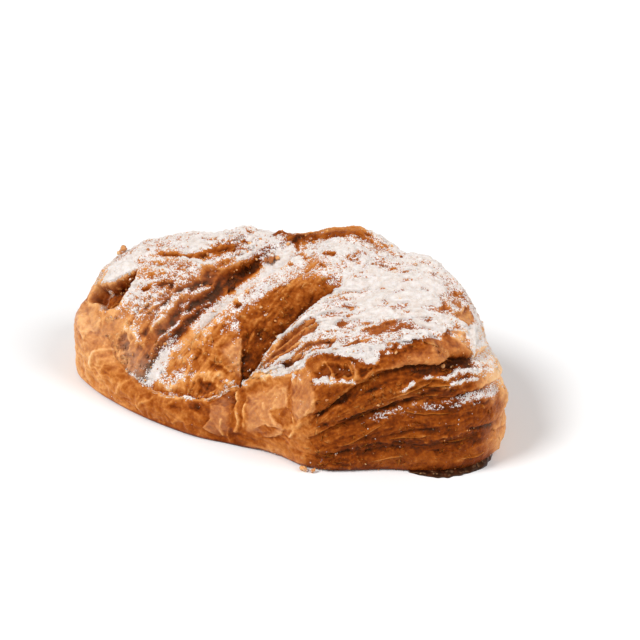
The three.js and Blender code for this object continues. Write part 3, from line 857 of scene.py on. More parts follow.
def third_ridge(look, at, on):
    """Pleats that fan out from where they are gathered: thin sugared ridges over broad hollows."""
    reach = np.hypot(at.x - PLEAT_CENTRE[0], at.y - PLEAT_CENTRE[1])
    turn = np.arctan2(at.y - PLEAT_CENTRE[1], at.x - PLEAT_CENTRE[0])
    fan = stack(turn * 9 + 0.1 * at.warp, reach / 26, at.z / 60)
    pleats = np.maximum(creased(fan, 1.0, 14), 0) ** 2 * 1.3 + 0.5 * creased(fan, 0.45, 15)
    gathered = smooth(3, 16, reach) * (1 - 0.5 * smooth(50, 75, reach))
    look.height += on.third * gathered * (0.75 * pleats + 0.2 * at.crumb + 0.12 * at.grain)
    look.bake += on.third * (0.06 - 0.08 * pleats)
    look.sugar += on.third * (0.03 + 0.50 * pleats + 0.28 * noise(fan, (0.6, 0.5, 1.0), 29))
    look.haze += 0.03 * on.third


def first_ridge_and_back(look, at, on):
    """Folds along the length, crossed by shallower ones, with sugar on their crests."""
    long_folds = creased(stack(at.x / 20, (at.y + at.warp) / 4.2, at.z / 8), 1.0, 16)
    across_folds = creased(at.points + at.warp[..., None], (7.0, 5.0, 6.0), 33)
    upper = np.clip(on.first + on.back_top, 0, 1) * (1 - on.lobe)
    look.height += upper * (0.42 * long_folds + 0.25 * across_folds + 0.26 * at.crumb + 0.12 * at.grain)
    look.bake += upper * (0.05 - 0.10 * long_folds)
    look.sugar += upper * 0.22 * long_folds + 0.1 * on.back_top


def cut_end(look, at, on):
    """Many thin layers that follow the fan of the bands, each overhanging the next one down.

    Layers are a saw-tooth of the layer place: up in a short step, then back as (1 - t)^0.8. Fibres run along
    them. Grooves are painted darkest as shade, the foot is baked darkest, and one crest is sugared.
    """
    layer = at.place * 3.3 + 0.55 * noise(stack(at.s / 17, at.place * 1.1, 0), 1.0, 17) + 0.1 * at.warp
    past = layer - np.floor(layer)
    sheet = smooth(0, 0.1, past) * (1 - past) ** 0.8
    strong = 0.5 + 0.5 * noise(stack(at.s / 8, np.floor(layer) * 3.1, 0), 1.0, 19)
    fibres = creased(stack(at.s / 6, at.place * 9 + 0.2 * at.warp, 0), 1.0, 18)
    fine_fibres = noise(stack(at.s / 3.5, at.place * 22 + 0.2 * at.warp, 0), 1.0, 21)
    groove = np.clip(fold_depth(at.place) / GROOVES[1][1], 0, 1) * smooth(3, 14, at.arc)
    groove = groove * (1 - smooth(90, 125, at.arc)) * smooth(14, 36, at.arc)
    crest = np.exp(-(((at.place - CREST_PLACE) / 0.2) ** 2)) * smooth(10, 26, at.arc)
    layered = 0.15 * strong * (sheet - 0.45) + 0.09 * fibres + 0.06 * fine_fibres
    bake = 0.30 + 0.05 * (1 - smooth(0, 0.3, past)) * strong - 0.04 * sheet * strong
    # Painted shade: the grooves under the overhanging bands are darkened.
    bake += 0.12 * groove + 0.10 * smooth(2.2, 0.9, at.place) - 0.02 * fibres - 0.04 * fine_fibres
    bake += 0.28 * smooth(6, 1, at.z) * smooth(34, 44, at.arc) - 0.10 * np.maximum(fibres, 0) ** 3
    look.height += on.cut * (layered + 0.2 * at.crumb + 0.13 * at.grain)
    look.bake += on.cut * bake
    look.sugar += on.cut * (0.80 * crest - 0.5)


def side_and_back(look, at, on):
    """Low level layers, broken up in patches, over wide soft folds; dusty and painted paler at the upper
    corner, as painted light from the right.
    """
    level = (at.z + at.warp) / 3.6 + 1.3 * noise(at.points, (26.0, 26.0, 12.0), 34)
    past = level - np.floor(level)
    sheet = smooth(0, 0.14, past) * (1 - past) ** 0.8
    patchy = smooth(-0.15, 0.5, noise(at.points, (14.0, 14.0, 6.0), 35))
    plain = on.side + on.back
    browning = 0.10 * noise(at.points, (22.0, 22.0, 14.0), 39) + 0.12 * smooth(16, 36, at.z)
    wide_folds = creased(at.points + at.warp[..., None], (9.0, 9.0, 5.0), 20)
    look.height += plain * (0.55 * patchy * (sheet - 0.4) + 0.4 * wide_folds + 0.16 * at.crumb)
    look.bake += plain * (browning - 0.10 * sheet * patchy - 0.06 * wide_folds)
    # The upper corner is painted paler: partly sugar dust, partly painted light from the right.
    look.bake += 0.08 * on.side - 0.36 * on.dusty_and_lit
    look.sugar += 0.12 * on.dusty_and_lit - plain * (0.25 - 0.3 * smooth(22, 38, at.z))
    look.haze += 0.10 * on.side + 0.12 * on.dusty_and_lit + 0.05 * on.back


def papery_skin(look, at, on):
    """Folded front skin and all that is like it: wide smooth facets, drawn into soft wrinkles."""
    film = np.clip(on.front + on.low_film + on.lobe + 0.5 * (on.side + on.back), 0, 1)
    bent = at.points + 1.1 * at.warp[..., None]
    facets, facet = crumpled(bent, (10.0, 10.0, 8.0), 22)
    wrinkles = creased(bent, (6.0, 6.0, 4.0), 23)
    fine_wrinkles = creased(bent, (2.4, 2.4, 1.8), 28)
    look.height += film * (0.3 * facets + 0.24 * wrinkles + 0.14 * fine_wrinkles - 0.3)
    look.bake += film * (0.14 * (facet - 0.5) - 0.07 * wrinkles - 0.05 * fine_wrinkles)
    look.bake += np.clip(on.front + on.lobe, 0, 1) * through(FRONT_BAKE, at.arc) + 0.08 * on.left_skin
    look.sugar -= 0.75 * on.front + 0.20 * on.lobe * (1 - 0.3 * at.crumb)
    look.haze += 0.10 * on.left_skin
    look.film += film


def seam(look, at, on):
    """Upper edge of the front skin: it stands proud of the top, thin and wavy, with a pale sugared rim and
    painted shade in the hollow behind it.
    """
    shows = round_outline(SEAM_SHOWS, at.arc)
    lip = round_outline(SEAM_LIP, at.arc) * (1 + 0.5 * noise(at.points, 5.0, 24))
    on_wall = np.exp(-np.maximum(-at.inside, 0) / 1.2) * (at.inside <= 0.25)
    on_top = np.exp(-np.maximum(at.inside, 0) / 1.6) * (at.inside > 0.25)
    thread = np.exp(-(((at.inside + 0.3) / 0.55) ** 2)) * shows
    sugared = (0.45 + 0.5 * smooth(-34, -30, at.arc)) * smooth(-56, -48, at.arc)
    look.height += lip * (0.9 * on_wall - 0.55 * on_top)
    # Painted shade darkens the hollow on the top just behind the lip.
    look.bake += shows * (0.16 * on_top - 0.08 * on_wall - 0.22 * thread)
    look.sugar += sugared * thread * (0.7 + noise(at.points, 5.0, 37))
    look.loose += 1.5 * thread


REGIONS = (
    first_slash, second_slash, second_ridge, third_ridge, first_ridge_and_back, cut_end, side_and_back,
    papery_skin, seam,
)


def relief(points, normals, s, share, place, folds, sheets):
    """Displacement along the normals in mm, and how baked (with painted shade and light), sugared, hazed,
    filmy and loose each point is.

    Every region adds its own share, then come the drawn features. Towards the table the relief fades out
    and the crust is baked darker.
    """
    at = places_on_skin(points, normals, s, share, place)
    on = regions(at)
    look = plain_skin(at, on)
    for region in REGIONS:
        region(look, at, on)
    flat = at.plan if folds is TOP_FOLDS else stack(at.arc, at.z)
    drawn, sugar, bake, haze, torn = drawn_features(points, flat, folds, sheets)
    # Raised drawn features are painted paler and sunk ones darker, as painted light and shade.
    bake += 0.30 * smooth(1.8, 0.1, at.z) - 0.06 * np.clip(drawn, -1, 1)
    return {
        "height": (look.height + drawn) * smooth(0.1, 2.5, at.z),
        "bake": np.clip(look.bake + bake, 0, 1),
        "sugar": np.clip(look.sugar + sugar, 0, 1.5),
        "haze": np.clip(look.haze * (1 + 0.7 * noise(points, 6.0, 48)) + haze, 0, 0.7),
        "film": np.clip(look.film + torn, 0, 1),
        "loose": look.loose * (0.1 + smooth(-0.2, 0.7, noise(points, 7.0, 38))),
    }


# ------------------------------------------------
# Meshes
# ------------------------------------------------
def grid_faces(columns, rows, wraps=False):
    """Four-sided faces of a grid, facing along its first step crossed with its second."""
    i = np.arange(columns if wraps else columns - 1)[:, None]
    j = np.arange(rows - 1)[None, :]
    here = i * rows + j
    beside = (i + 1) % columns * rows + j
    return np.stack([here, beside, beside + 1, here + 1], -1).reshape(-1, 4)


def ring_faces(outer, inner):
    """Faces between two closed rings of point numbers, facing along a step on outer crossed with inward."""
    after = np.roll(outer, -1)
    after_inner = np.roll(inner, -1)
    return np.stack([outer, after, after_inner, inner], -1)


def fan_faces(ring, centre):
    """Triangles from a closed ring of point numbers to one point."""
    return np.stack([ring, np.roll(ring, -1), np.full(len(ring), centre)], -1)


def add_piece(name, points, face_sets, material, fields=None):
    """Makes a smooth-shaded mesh object from points in mm, faces and fields, and ties it to the frame."""
    mesh = bpy.data.meshes.new(name)
    corners = np.concatenate([faces.ravel() for faces in face_sets])
    sizes = np.concatenate([np.full(len(faces), faces.shape[1]) for faces in face_sets])
    mesh.vertices.add(len(points))
    mesh.vertices.foreach_set("co", ((points + SHIFT) * MILLIMETRE).ravel())
    mesh.loops.add(len(corners))
    mesh.loops.foreach_set("vertex_index", corners)
    mesh.polygons.add(len(sizes))
    mesh.polygons.foreach_set("loop_start", np.cumsum(sizes) - sizes)
    mesh.update(calc_edges=True)
    mesh.validate()
    mesh.shade_smooth()
    for field, values in (fields or {}).items():
        carried = mesh.attributes.new(field, "FLOAT", "POINT")
        carried.data.foreach_set("value", np.ravel(values).astype(np.float32))
    mesh.materials.append(material)
    piece = bpy.data.objects.new(name, mesh)
    bpy.context.collection.objects.link(piece)
    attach(piece, "root")
    return piece


# ------------------------------------------------
# Materials
# ------------------------------------------------
BAKED_COLOURS = [  # place on the scale from pale to burnt, with its red, green and blue
    (0.00, (0.88, 0.58, 0.31)), (0.20, (0.78, 0.37, 0.12)), (0.40, (0.55, 0.19, 0.040)),
    (0.60, (0.33, 0.075, 0.007)), (0.78, (0.18, 0.030, 0.002)), (1.00, (0.045, 0.010, 0.003)),
]
SUGAR_WHITE = (0.88, 0.84, 0.82, 1)
SUGAR_SHADE = (0.70, 0.60, 0.53, 1)
GRAIN_SHADE = (0.78, 0.68, 0.60, 1)
GRAIN_WHITE = (0.92, 0.88, 0.85, 1)
HAZE = (0.88, 0.66, 0.46, 1)
BURNT_SUGAR = (0.016, 0.004, 0.002, 1)
THIN_BURNT_SUGAR = (0.07, 0.016, 0.005, 1)
SUGAR_GRAIN = 0.36  # size of a grain in the dusting
CRUST_GLOSS = 0.14
GLOSS_TINT = (1.0, 0.55, 0.25, 1)


class Finish:
    """A material with its node tree and the few kinds of node that the finishes are made of."""

    def __init__(self, name):
        self.material = bpy.data.materials.new(name)
        self.material.use_nodes = True
        self.tree = self.material.node_tree
        self.shader = self.tree.nodes["Principled BSDF"]
        self.place = self.tree.nodes.new("ShaderNodeTexCoord").outputs["Object"]

    def add(self, kind, inputs=None, **settings):
        """Adds a node: settings are its properties, inputs go to its sockets by name or number."""
        new = self.tree.nodes.new(kind)
        for key, value in settings.items():
            setattr(new, key, value)
        for key, value in (inputs or {}).items():
            self.feed(new.inputs[key], value)
        return new

    def feed(self, socket, value):
        """Links a socket to another node's output, or sets its number or colour."""
        if isinstance(value, bpy.types.NodeSocket):
            self.tree.links.new(value, socket)
        else:
            socket.default_value = value

    def field(self, name):
        """A number that the mesh carries at its points."""
        return self.add("ShaderNodeAttribute", attribute_name=name).outputs["Fac"]

    def math(self, operation, a, b=0.0, c=0.0):
        """Arithmetic on two or three numbers."""
        return self.add("ShaderNodeMath", {0: a, 1: b, 2: c}, operation=operation).outputs[0]

    def mottle(self, size, detail=3.0, roughness=0.6):
        """Noise around 0, from about -0.5 to 0.5, with lumps of that size in mm."""
        noise_node = self.add("ShaderNodeTexNoise", {
            "Vector": self.place,
            "Scale": 1 / (size * MILLIMETRE),
            "Detail": detail,
            "Roughness": roughness,
        })
        return self.math("SUBTRACT", noise_node.outputs["Fac"], 0.5)

    def ramp(self, value, stops):
        """Colour along a scale of stops."""
        new = self.add("ShaderNodeValToRGB", {"Fac": value})
        elements = new.color_ramp.elements
        for k, (place, colour) in enumerate(stops):
            stop = elements[k] if k < 2 else elements.new(place)
            stop.position = place
            stop.color = (*colour, 1)
        return new.outputs["Color"]

    def spread(self, value, low, high):
        """Smoothly stretches a number so that low becomes 0 and high becomes 1."""
        limits = {"Value": value, "From Min": low, "From Max": high}
        return self.add("ShaderNodeMapRange", limits, interpolation_type="SMOOTHSTEP").outputs["Result"]

    def mix(self, share, a, b):
        """Colour between a and b."""
        new = self.add("ShaderNodeMix", data_type="RGBA")
        self.feed(new.inputs["Factor"], share)
        self.feed(new.inputs["A"], a)
        self.feed(new.inputs["B"], b)
        return new.outputs["Result"]

    def bump(self, height, depth, strength=1.0):
        """Tilts the surface as a height of that many mm would."""
        sizes = {"Height": height, "Distance": depth * MILLIMETRE, "Strength": strength}
        new = self.add("ShaderNodeBump", sizes)
        self.feed(self.shader.inputs["Normal"], new.outputs["Normal"])

    def colour(self, value):
        """Gives the shader its colour: one everywhere, or a node's."""
        self.feed(self.shader.inputs["Base Color"], value)

    def set(self, **values):
        """Sets the shader's plain numbers and colours, by socket name with _ for a space."""
        for name, value in values.items():
            self.shader.inputs[name.replace("_", " ")].default_value = value


def baked_colour(finish):
    """Amber to dark brown by how baked the mesh says it is there, its painted shade and light included, with
    blotches, flecks and fine speckles.
    """
    tone = finish.math("MULTIPLY_ADD", finish.mottle(2.4), 0.20, finish.field("bake"))
    tone = finish.math("MULTIPLY_ADD", finish.mottle(0.8, 2.0), 0.32, tone)
    return finish.ramp(tone, BAKED_COLOURS)


def grains_of_sugar(finish):
    """Share of sugar at a point: fine grains, each there or not by its own chance, closed where thick."""
    places = {"Vector": finish.place, "Scale": 1 / (SUGAR_GRAIN * MILLIMETRE)}
    grain = finish.add("ShaderNodeTexVoronoi", places)
    chance = finish.add("ShaderNodeSeparateColor", {"Color": grain.outputs["Color"]}).outputs["Red"]
    clumps = finish.math("MULTIPLY_ADD", finish.mottle(1.6, 4.0, 0.65), 0.95, finish.field("sugar"))
    lying = finish.spread(finish.math("MULTIPLY_ADD", chance, -0.62, clumps), 0.08, 0.30)
    closed = finish.spread(clumps, 0.68, 1.05)
    return finish.math("MAXIMUM", lying, closed)


def hazed_colour(finish):
    """The baked colour under a haze of the finest sugar."""
    uneven = finish.math("MULTIPLY_ADD", finish.mottle(1.2, 4.0), 2.0, 1.0)
    share = finish.math("MULTIPLY", uneven, finish.field("haze"))
    return finish.mix(share, baked_colour(finish), HAZE)


def crust_finish():
    """Baked pastry: mottled browns under a dusting of sugar, glossier where a film lies on it."""
    finish = Finish("baked_crust")
    film = finish.field("film")
    dust = grains_of_sugar(finish)
    finish.colour(finish.mix(finish.math("MULTIPLY", dust, 0.93), hazed_colour(finish), SUGAR_WHITE))
    rough = finish.math("MULTIPLY_ADD", finish.mottle(2.6), 0.35, 0.50)
    rough = finish.math("MULTIPLY_ADD", film, -0.14, rough)
    finish.feed(finish.shader.inputs["Roughness"], finish.math("MULTIPLY_ADD", dust, 0.4, rough))
    finish.set(Specular_IOR_Level=CRUST_GLOSS, Specular_Tint=GLOSS_TINT)
    finish.set(Subsurface_Weight=0.10, Subsurface_Radius=(1.0, 0.42, 0.15), Subsurface_Scale=1.6 * MILLIMETRE)
    crumbly = finish.math("MULTIPLY_ADD", film, -0.6, 1.0)
    relief_height = finish.math("MULTIPLY", finish.mottle(1.0, 5.0, 0.65), crumbly)
    finish.bump(finish.math("MULTIPLY_ADD", dust, 0.35, relief_height), 0.5, 0.85)
    return finish.material


def sugar_finish():
    """Drifts of powdered sugar: soft white grains, the crust's warmth between them where they thin out."""
    finish = Finish("powdered_sugar")
    thick = finish.spread(finish.field("thickness"), 0.10, 0.42)
    cover = finish.math("MAXIMUM", grains_of_sugar(finish), thick)
    tint = finish.mix(finish.spread(finish.mottle(2.0, 5.0, 0.7), -0.25, 0.2), SUGAR_SHADE, SUGAR_WHITE)
    finish.colour(finish.mix(finish.math("MULTIPLY", cover, 0.96), hazed_colour(finish), tint))
    finish.set(Roughness=0.9, Specular_IOR_Level=0.15)
    finish.set(Subsurface_Weight=0.2, Subsurface_Radius=(1.0, 0.8, 0.6), Subsurface_Scale=0.6 * MILLIMETRE)
    finish.bump(finish.mottle(0.6, 5.0, 0.75), 0.45, 0.9)
    return finish.material


def grain_finish():
    """Single grains of sugar: white, some a little warmer than others."""
    finish = Finish("sugar_grains")
    finish.colour(finish.mix(finish.spread(finish.mottle(0.5), -0.4, 0.3), GRAIN_SHADE, GRAIN_WHITE))
    finish.set(Roughness=0.7, Specular_IOR_Level=0.3)
    return finish.material


def caramel_finish():
    """Burnt sugar: nearly black brown glass, amber where it is rough and thin."""
    finish = Finish("burnt_sugar")
    tone = finish.spread(finish.mottle(1.4, 5.0, 0.65), -0.12, 0.3)
    finish.colour(finish.mix(tone, BURNT_SUGAR, THIN_BURNT_SUGAR))
    finish.feed(finish.shader.inputs["Roughness"], finish.math("MULTIPLY_ADD", finish.mottle(2.0), 0.3, 0.30))
    finish.set(Specular_IOR_Level=0.35, Specular_Tint=GLOSS_TINT)
    finish.bump(finish.mottle(2.2, 3.0), 0.5, 0.5)
    return finish.material


def floor_finish():
    """Plain pale board with the faintest unevenness."""
    finish = Finish("pale_board")
    tone = finish.math("MULTIPLY_ADD", finish.mottle(40.0), 0.02, 0.9)
    grey = finish.add("ShaderNodeCombineColor", {"Red": tone, "Green": tone, "Blue": tone})
    finish.colour(grey.outputs["Color"])
    finish.set(Roughness=0.9)
    return finish.material


# ------------------------------------------------
# The crust
# ------------------------------------------------
def softened(values, wraps, times):
    """A grid evened out: each point becomes a quarter, half and quarter of its neighbours, over and over."""
    for _ in range(times):
        for axis in (0, 1):
            before = np.roll(values, 1, axis)
            after = np.roll(values, -1, axis)
            if axis == 1 or not wraps:
                first = [slice(None)] * values.ndim
                first[axis] = slice(0, 1)
                last = [slice(None)] * values.ndim
                last[axis] = slice(-1, None)
                before[tuple(first)] = values[tuple(first)]
                after[tuple(last)] = values[tuple(last)]
            values = 0.25 * before + 0.5 * values + 0.25 * after
    return values


def moved_out(points, normals, s, share, place, wraps, folds, sheets):
    """A skin: the grid moved out along its normals by the relief, with its fields.

    Hollows are painted darker as shade and crests paler as light, by how far they lie from an evened copy of
    the skin.
    Sugar slides off where the moved skin is steeper than the plain one and stays where it is flatter.
    """
    fields = relief(points, normals, s, share, place, folds, sheets)
    moved = points + normals * fields["height"][..., None]
    moved[..., 2] = np.maximum(moved[..., 2], 0)
    facing = grid_normals(moved, wraps)
    # Painted shade in the hollows and painted light on the crests, by how far each point lies from an evened
    # copy of the skin.
    for times, tone in HOLLOW_SHADING:
        stands_out = np.sum((moved - softened(moved, wraps, times)) * facing, -1)
        fields["bake"] = fields["bake"] - tone * np.clip(stands_out, -0.4, 0.4)
    fields["bake"] = np.clip(fields["bake"], 0, 1)
    flatter = np.clip(facing[..., 2] - normals[..., 2], -0.5, 0.35)
    fields["sugar"] = np.clip(fields["sugar"] + 0.9 * flatter * smooth(0.05, 0.3, fields["sugar"]), 0, 1.5)
    return {"points": moved, "normals": facing, "wraps": wraps, **fields}


def make_top():
    """Top of the crust over its seam: a grid on a disc, relaxed along its rows, moved out by the relief."""
    v, u = np.meshgrid(np.linspace(-1, 1, TOP_ROWS + 1), np.linspace(-1, 1, TOP_COLUMNS + 1), indexing="ij")
    plain, *_ = top_body(u, v)
    u = relax(plain, TOP_EVENNESS) * 2 - 1
    points, s, share, place = (part.swapaxes(0, 1) for part in top_body(u, v))
    return moved_out(points, grid_normals(points), s, share, place, False, TOP_FOLDS, TOP_SHEETS)


def wall_columns():
    """Outline lengths of the wall's columns: close together where the layers and skins are finest."""
    fine = np.arange(WALL_FINE[0], WALL_FINE[1], WALL_FINE_STEP)
    rest = PERIMETER - (WALL_FINE[1] - WALL_FINE[0])
    count = int(rest / WALL_COARSE_STEP)
    coarse = WALL_FINE[1] + rest * np.arange(1, count) / count
    return np.concatenate([fine, coarse])


def make_wall():
    """Wall of the crust from its flat base to the seam: columns round the outline, relaxed upwards."""
    s = wall_columns()[:, None]
    ox, oy = outline_at(s)
    power = squareness(ox, oy)
    edge = np.minimum(seam_share(s), 0.995)
    edge_turn = np.arctan2(level_at(edge, power), edge)
    _, base = under(ox, oy)

    def wall_body(up):
        """Body points at a share of the way up from the widest level to the seam."""
        turn = edge_turn * up
        reach = (np.cos(turn) ** power + np.sin(turn) ** power) ** (-1 / power)
        share = reach * np.cos(turn)
        spread_s = np.broadcast_to(s, share.shape)
        return (*body_point(spread_s, share, reach * np.sin(turn)), spread_s, share)

    even = np.linspace(0, 1, WALL_ROWS + 1)[None, :] + 0 * s
    up = relax(wall_body(even)[0], WALL_EVENNESS)
    points, place, spread_s, share = wall_body(up)
    turn = np.pi / 2 * np.arange(CURL_ROWS)[None, :] / CURL_ROWS
    curl_share = base + (1 - base) * np.sin(turn)
    curl_s = np.broadcast_to(s, curl_share.shape)
    curl_points, curl_place = body_point(curl_s, curl_share, -np.cos(turn) + 0 * s)
    points = np.concatenate([curl_points, points], 1)
    place = np.concatenate([curl_place, place], 1)
    spread_s = np.concatenate([curl_s, spread_s], 1)
    share = np.concatenate([curl_share, share], 1)
    normals = grid_normals(points, True)
    return moved_out(points, normals, spread_s, share, place, True, WALL_FOLDS, WALL_SHEETS)


def pulled_in(ring, inward, height):
    """A ring of points moved towards the crown by a share, at a new height."""
    moved = ring.copy()
    moved[:, :2] = CROWN + (ring[:, :2] - CROWN) * (1 - inward)
    moved[:, 2] = height
    return moved


def skin_fields(skin, extra):
    """A skin's fields in a row, followed by an even value for the hidden points that close it."""
    return {name: np.concatenate([skin[name].ravel(), np.full(extra, HIDDEN_FIELD)]) for name in SKIN_FIELDS}


def closed_top(skin, material):
    """Closes the top underneath: its rim is tucked down inside the wall and fanned to a point."""
    columns, rows = skin["points"].shape[:2]
    number = np.arange(columns * rows).reshape(columns, rows)
    rim = np.concatenate([number[:, 0], number[-1, 1:], number[-2::-1, -1], number[0, -2:0:-1]])
    points = skin["points"].reshape(-1, 3)
    edge = points[rim] - TOP_INSIDE["rim"] * skin["normals"].reshape(-1, 3)[rim]
    down, least, height = (TOP_INSIDE[size] for size in ("down", "least", "height"))
    heights = (np.maximum(edge[:, 2] - down, least), height)
    rings = [edge] + [pulled_in(edge, *way) for way in zip(TOP_INSIDE["shares"], heights)]
    numbers = [rim] + [columns * rows + k * len(rim) + np.arange(len(rim)) for k in range(len(rings))]
    centre = columns * rows + len(rings) * len(rim)
    points = np.concatenate([points, *rings, [[*CROWN, height]]])
    faces = [grid_faces(columns, rows)]
    faces += [ring_faces(lower, upper) for upper, lower in zip(numbers, numbers[1:])]
    faces += [fan_faces(numbers[-1][::-1], centre)]
    fields = skin_fields(skin, len(points) - columns * rows)
    return add_piece("crust_top", points, faces, material, fields)


def closed_wall(skin, material):
    """Closes the wall: a flat base underneath, and its upper edge tucked inside under the top."""
    columns, rows = skin["points"].shape[:2]
    number = np.arange(columns * rows).reshape(columns, rows)
    points = skin["points"].reshape(-1, 3)
    edge = points[number[:, -1]] - WALL_INSIDE["rim"] * skin["normals"][:, -1]
    down, least, height = (WALL_INSIDE[size] for size in ("down", "least", "height"))
    heights = (edge[:, 2], np.maximum(edge[:, 2] - down, least), height)
    rings = [pulled_in(edge, *way) for way in zip(WALL_INSIDE["shares"], heights)]
    numbers = [number[:, -1]] + [columns * rows + k * columns + np.arange(columns) for k in range(len(rings))]
    centre = columns * rows + len(rings) * columns
    points = np.concatenate([points, *rings, [[*CROWN, height], [*CROWN, 0]]])
    faces = [grid_faces(columns, rows, wraps=True)]
    faces += [ring_faces(lower, upper) for lower, upper in zip(numbers, numbers[1:])]
    faces += [fan_faces(numbers[-1], centre), fan_faces(number[::-1, 0], centre + 1)]
    fields = skin_fields(skin, len(points) - columns * rows)
    return add_piece("crust_wall", points, faces, material, fields)


SUGAR_DRIFTS = (0.55, 1.1)  # amounts of sugar between which a drift rises from nothing to its full depth
SUGAR_FLUFFS = (0.4, 0.7)  # amounts between which its surface becomes lumpy
SUGAR_SUNK = 0.09  # how far a drift lies lower than its sugar alone would
SUGAR_UNDER = 0.4  # how far its under side lies in the crust
TOP_SUGAR_DEPTH = 0.5
WALL_SUGAR_DEPTH = 0.25


def sugar_layer(name, skin, material, deepest):
    """Drifts of sugar on a skin: a closed sheet where it is thick, its edges dipping into the crust."""
    points = skin["points"].reshape(-1, 3)
    normals = skin["normals"].reshape(-1, 3)
    sugar = skin["sugar"].ravel()
    columns, rows = skin["points"].shape[:2]
    fluff = 0.14 * noise(points, 3.2, 50) + 0.10 * noise(points, 1.6, 51) + 0.08 * noise(points, 0.8, 52)
    thickness = deepest * smooth(*SUGAR_DRIFTS, sugar) - SUGAR_SUNK + fluff * smooth(*SUGAR_FLUFFS, sugar)
    quads = grid_faces(columns, rows, skin["wraps"])
    quads = quads[(thickness[quads] > 0).any(1)]
    used, numbers = np.unique(quads, return_inverse=True)
    quads = numbers.reshape(-1, 4)
    count = len(used)
    starts = quads.ravel()
    ends = np.roll(quads, -1, 1).ravel()
    outer = ~np.isin(starts * count + ends, ends * count + starts)
    starts = starts[outer]
    ends = ends[outer]
    sides = np.stack([ends, starts, starts + count, ends + count], -1)
    over = points[used] + normals[used] * thickness[used, None]
    under_side = points[used] - normals[used] * SUGAR_UNDER
    fields = {"thickness": np.tile(thickness[used], 2)}
    for field in SKIN_FIELDS:
        fields[field] = np.tile(skin[field].ravel()[used], 2)
    faces = [quads, quads[:, ::-1] + count, sides]
    return add_piece(name, np.concatenate([over, under_side]), faces, material, fields)


# ------------------------------------------------
# Thin torn skins, flakes, crumbs, grains and the burnt foot
# ------------------------------------------------
JUST_CLEAR = 0.02  # height at which the lowest points of loose things are held off the table
SHORTEST_STEP = 0.02  # shortest grid step that distances are divided by
LEAF_SHIFT = 3.7  # how far one leaf's raggedness lies from the next one's


def sampled(values, column, row, wraps):
    """Values of a grid between its points, by the four nearest."""
    columns, rows = values.shape[:2]
    column = column % columns if wraps else np.clip(column, 0, columns - 1.001)
    row = np.clip(row, 0, rows - 1.001)
    i = np.floor(column).astype(int)
    j = np.floor(row).astype(int)
    right = (i + 1) % columns
    a = (column - i).reshape(column.shape + (1,) * (values.ndim - 2))
    b = (row - j).reshape(row.shape + (1,) * (values.ndim - 2))
    lower = values[i, j] * (1 - a) + values[right, j] * a
    upper = values[i, j + 1] * (1 - a) + values[right, j + 1] * a
    return lower * (1 - b) + upper * b


def nearest_place(skin, spot):
    """Column and row of the skin's point nearest to a spot."""
    distance = np.linalg.norm(skin["points"] - np.array(spot, float), axis=-1)
    return np.unravel_index(np.argmin(distance), distance.shape)


def random_places(skin, weights, count, rng):
    """Columns and rows of random points of the skin, drawn by weight and area."""
    points = skin["points"]
    sides = [np.gradient(points, axis=axis) for axis in (0, 1)]
    area = np.linalg.norm(np.cross(*sides), axis=-1)
    chance = (np.minimum(area, 1.0) * np.maximum(weights, 0)).ravel()
    chosen = rng.choice(chance.size, count, p=chance / chance.sum())
    column, row = np.unravel_index(chosen, points.shape[:2])
    return column + rng.uniform(-0.5, 0.5, count), row + rng.uniform(-0.5, 0.5, count)


def leaf_places(rings, spokes):
    """Points of a leaf: the radius from its middle out to the rim and back, the turn, and which lie below."""
    radii = np.concatenate([np.arange(1, rings + 1), np.arange(rings - 1, 0, -1)]) / rings
    below = np.arange(2 * rings - 1) >= rings
    turns = np.tile(np.arange(spokes) / spokes, 2 * rings - 1)
    rho = np.concatenate([[0.0], np.repeat(radii, spokes), [0.0]])
    phi = 2 * np.pi * np.concatenate([[0], turns, [0]])
    under_side = np.concatenate([[False], np.repeat(below, spokes), [True]])
    return rho[None, :], phi[None, :], under_side[None, :]


def closed_faces(count, rings, spokes):
    """Faces of closed shapes, each a pole, its rings of that many points and a pole again."""
    each = rings * spokes + 2
    turn = np.arange(spokes)
    after = (turn + 1) % spokes
    ring = 1 + np.arange(rings)[:, None] * spokes
    quads = np.stack([ring[:-1] + turn, ring[1:] + turn, ring[1:] + after, ring[:-1] + after], -1)
    quads = quads.reshape(-1, 4)
    first = np.stack([0 * turn, 1 + turn, 1 + after], -1)
    last = np.stack([0 * turn + each - 1, ring[-1] + after, ring[-1] + turn], -1)
    shift = (np.arange(count) * each)[:, None, None]
    return [(faces + shift).reshape(-1, faces.shape[-1]) for faces in (quads, first, last)]


def places_beside(skin, column, row, along, up):
    """Places on a skin's grid that lie so many mm along its columns and up its rows from one of its points.

    Each distance is divided by the length of a grid step there, the two steps having been made square.
    """
    base = skin["soft"]
    wraps = skin["wraps"]
    step_1 = sampled(base, column + 1, row, wraps) - sampled(base, column - 1, row, wraps)
    step_2 = sampled(base, column, row + 1, wraps) - sampled(base, column, row - 1, wraps)
    long_1 = np.linalg.norm(step_1, axis=-1, keepdims=True) / 2
    unit_1 = step_1 / (2 * long_1)
    lean = np.sum(step_2 * unit_1, -1, keepdims=True) / 2
    long_2 = np.linalg.norm(step_2 / 2 - lean * unit_1, axis=-1, keepdims=True)
    rows_on = up / np.maximum(long_2, SHORTEST_STEP)
    columns_on = (along - rows_on * lean) / np.maximum(long_1, SHORTEST_STEP)
    return column[:, None] + columns_on, row[:, None] + rows_on


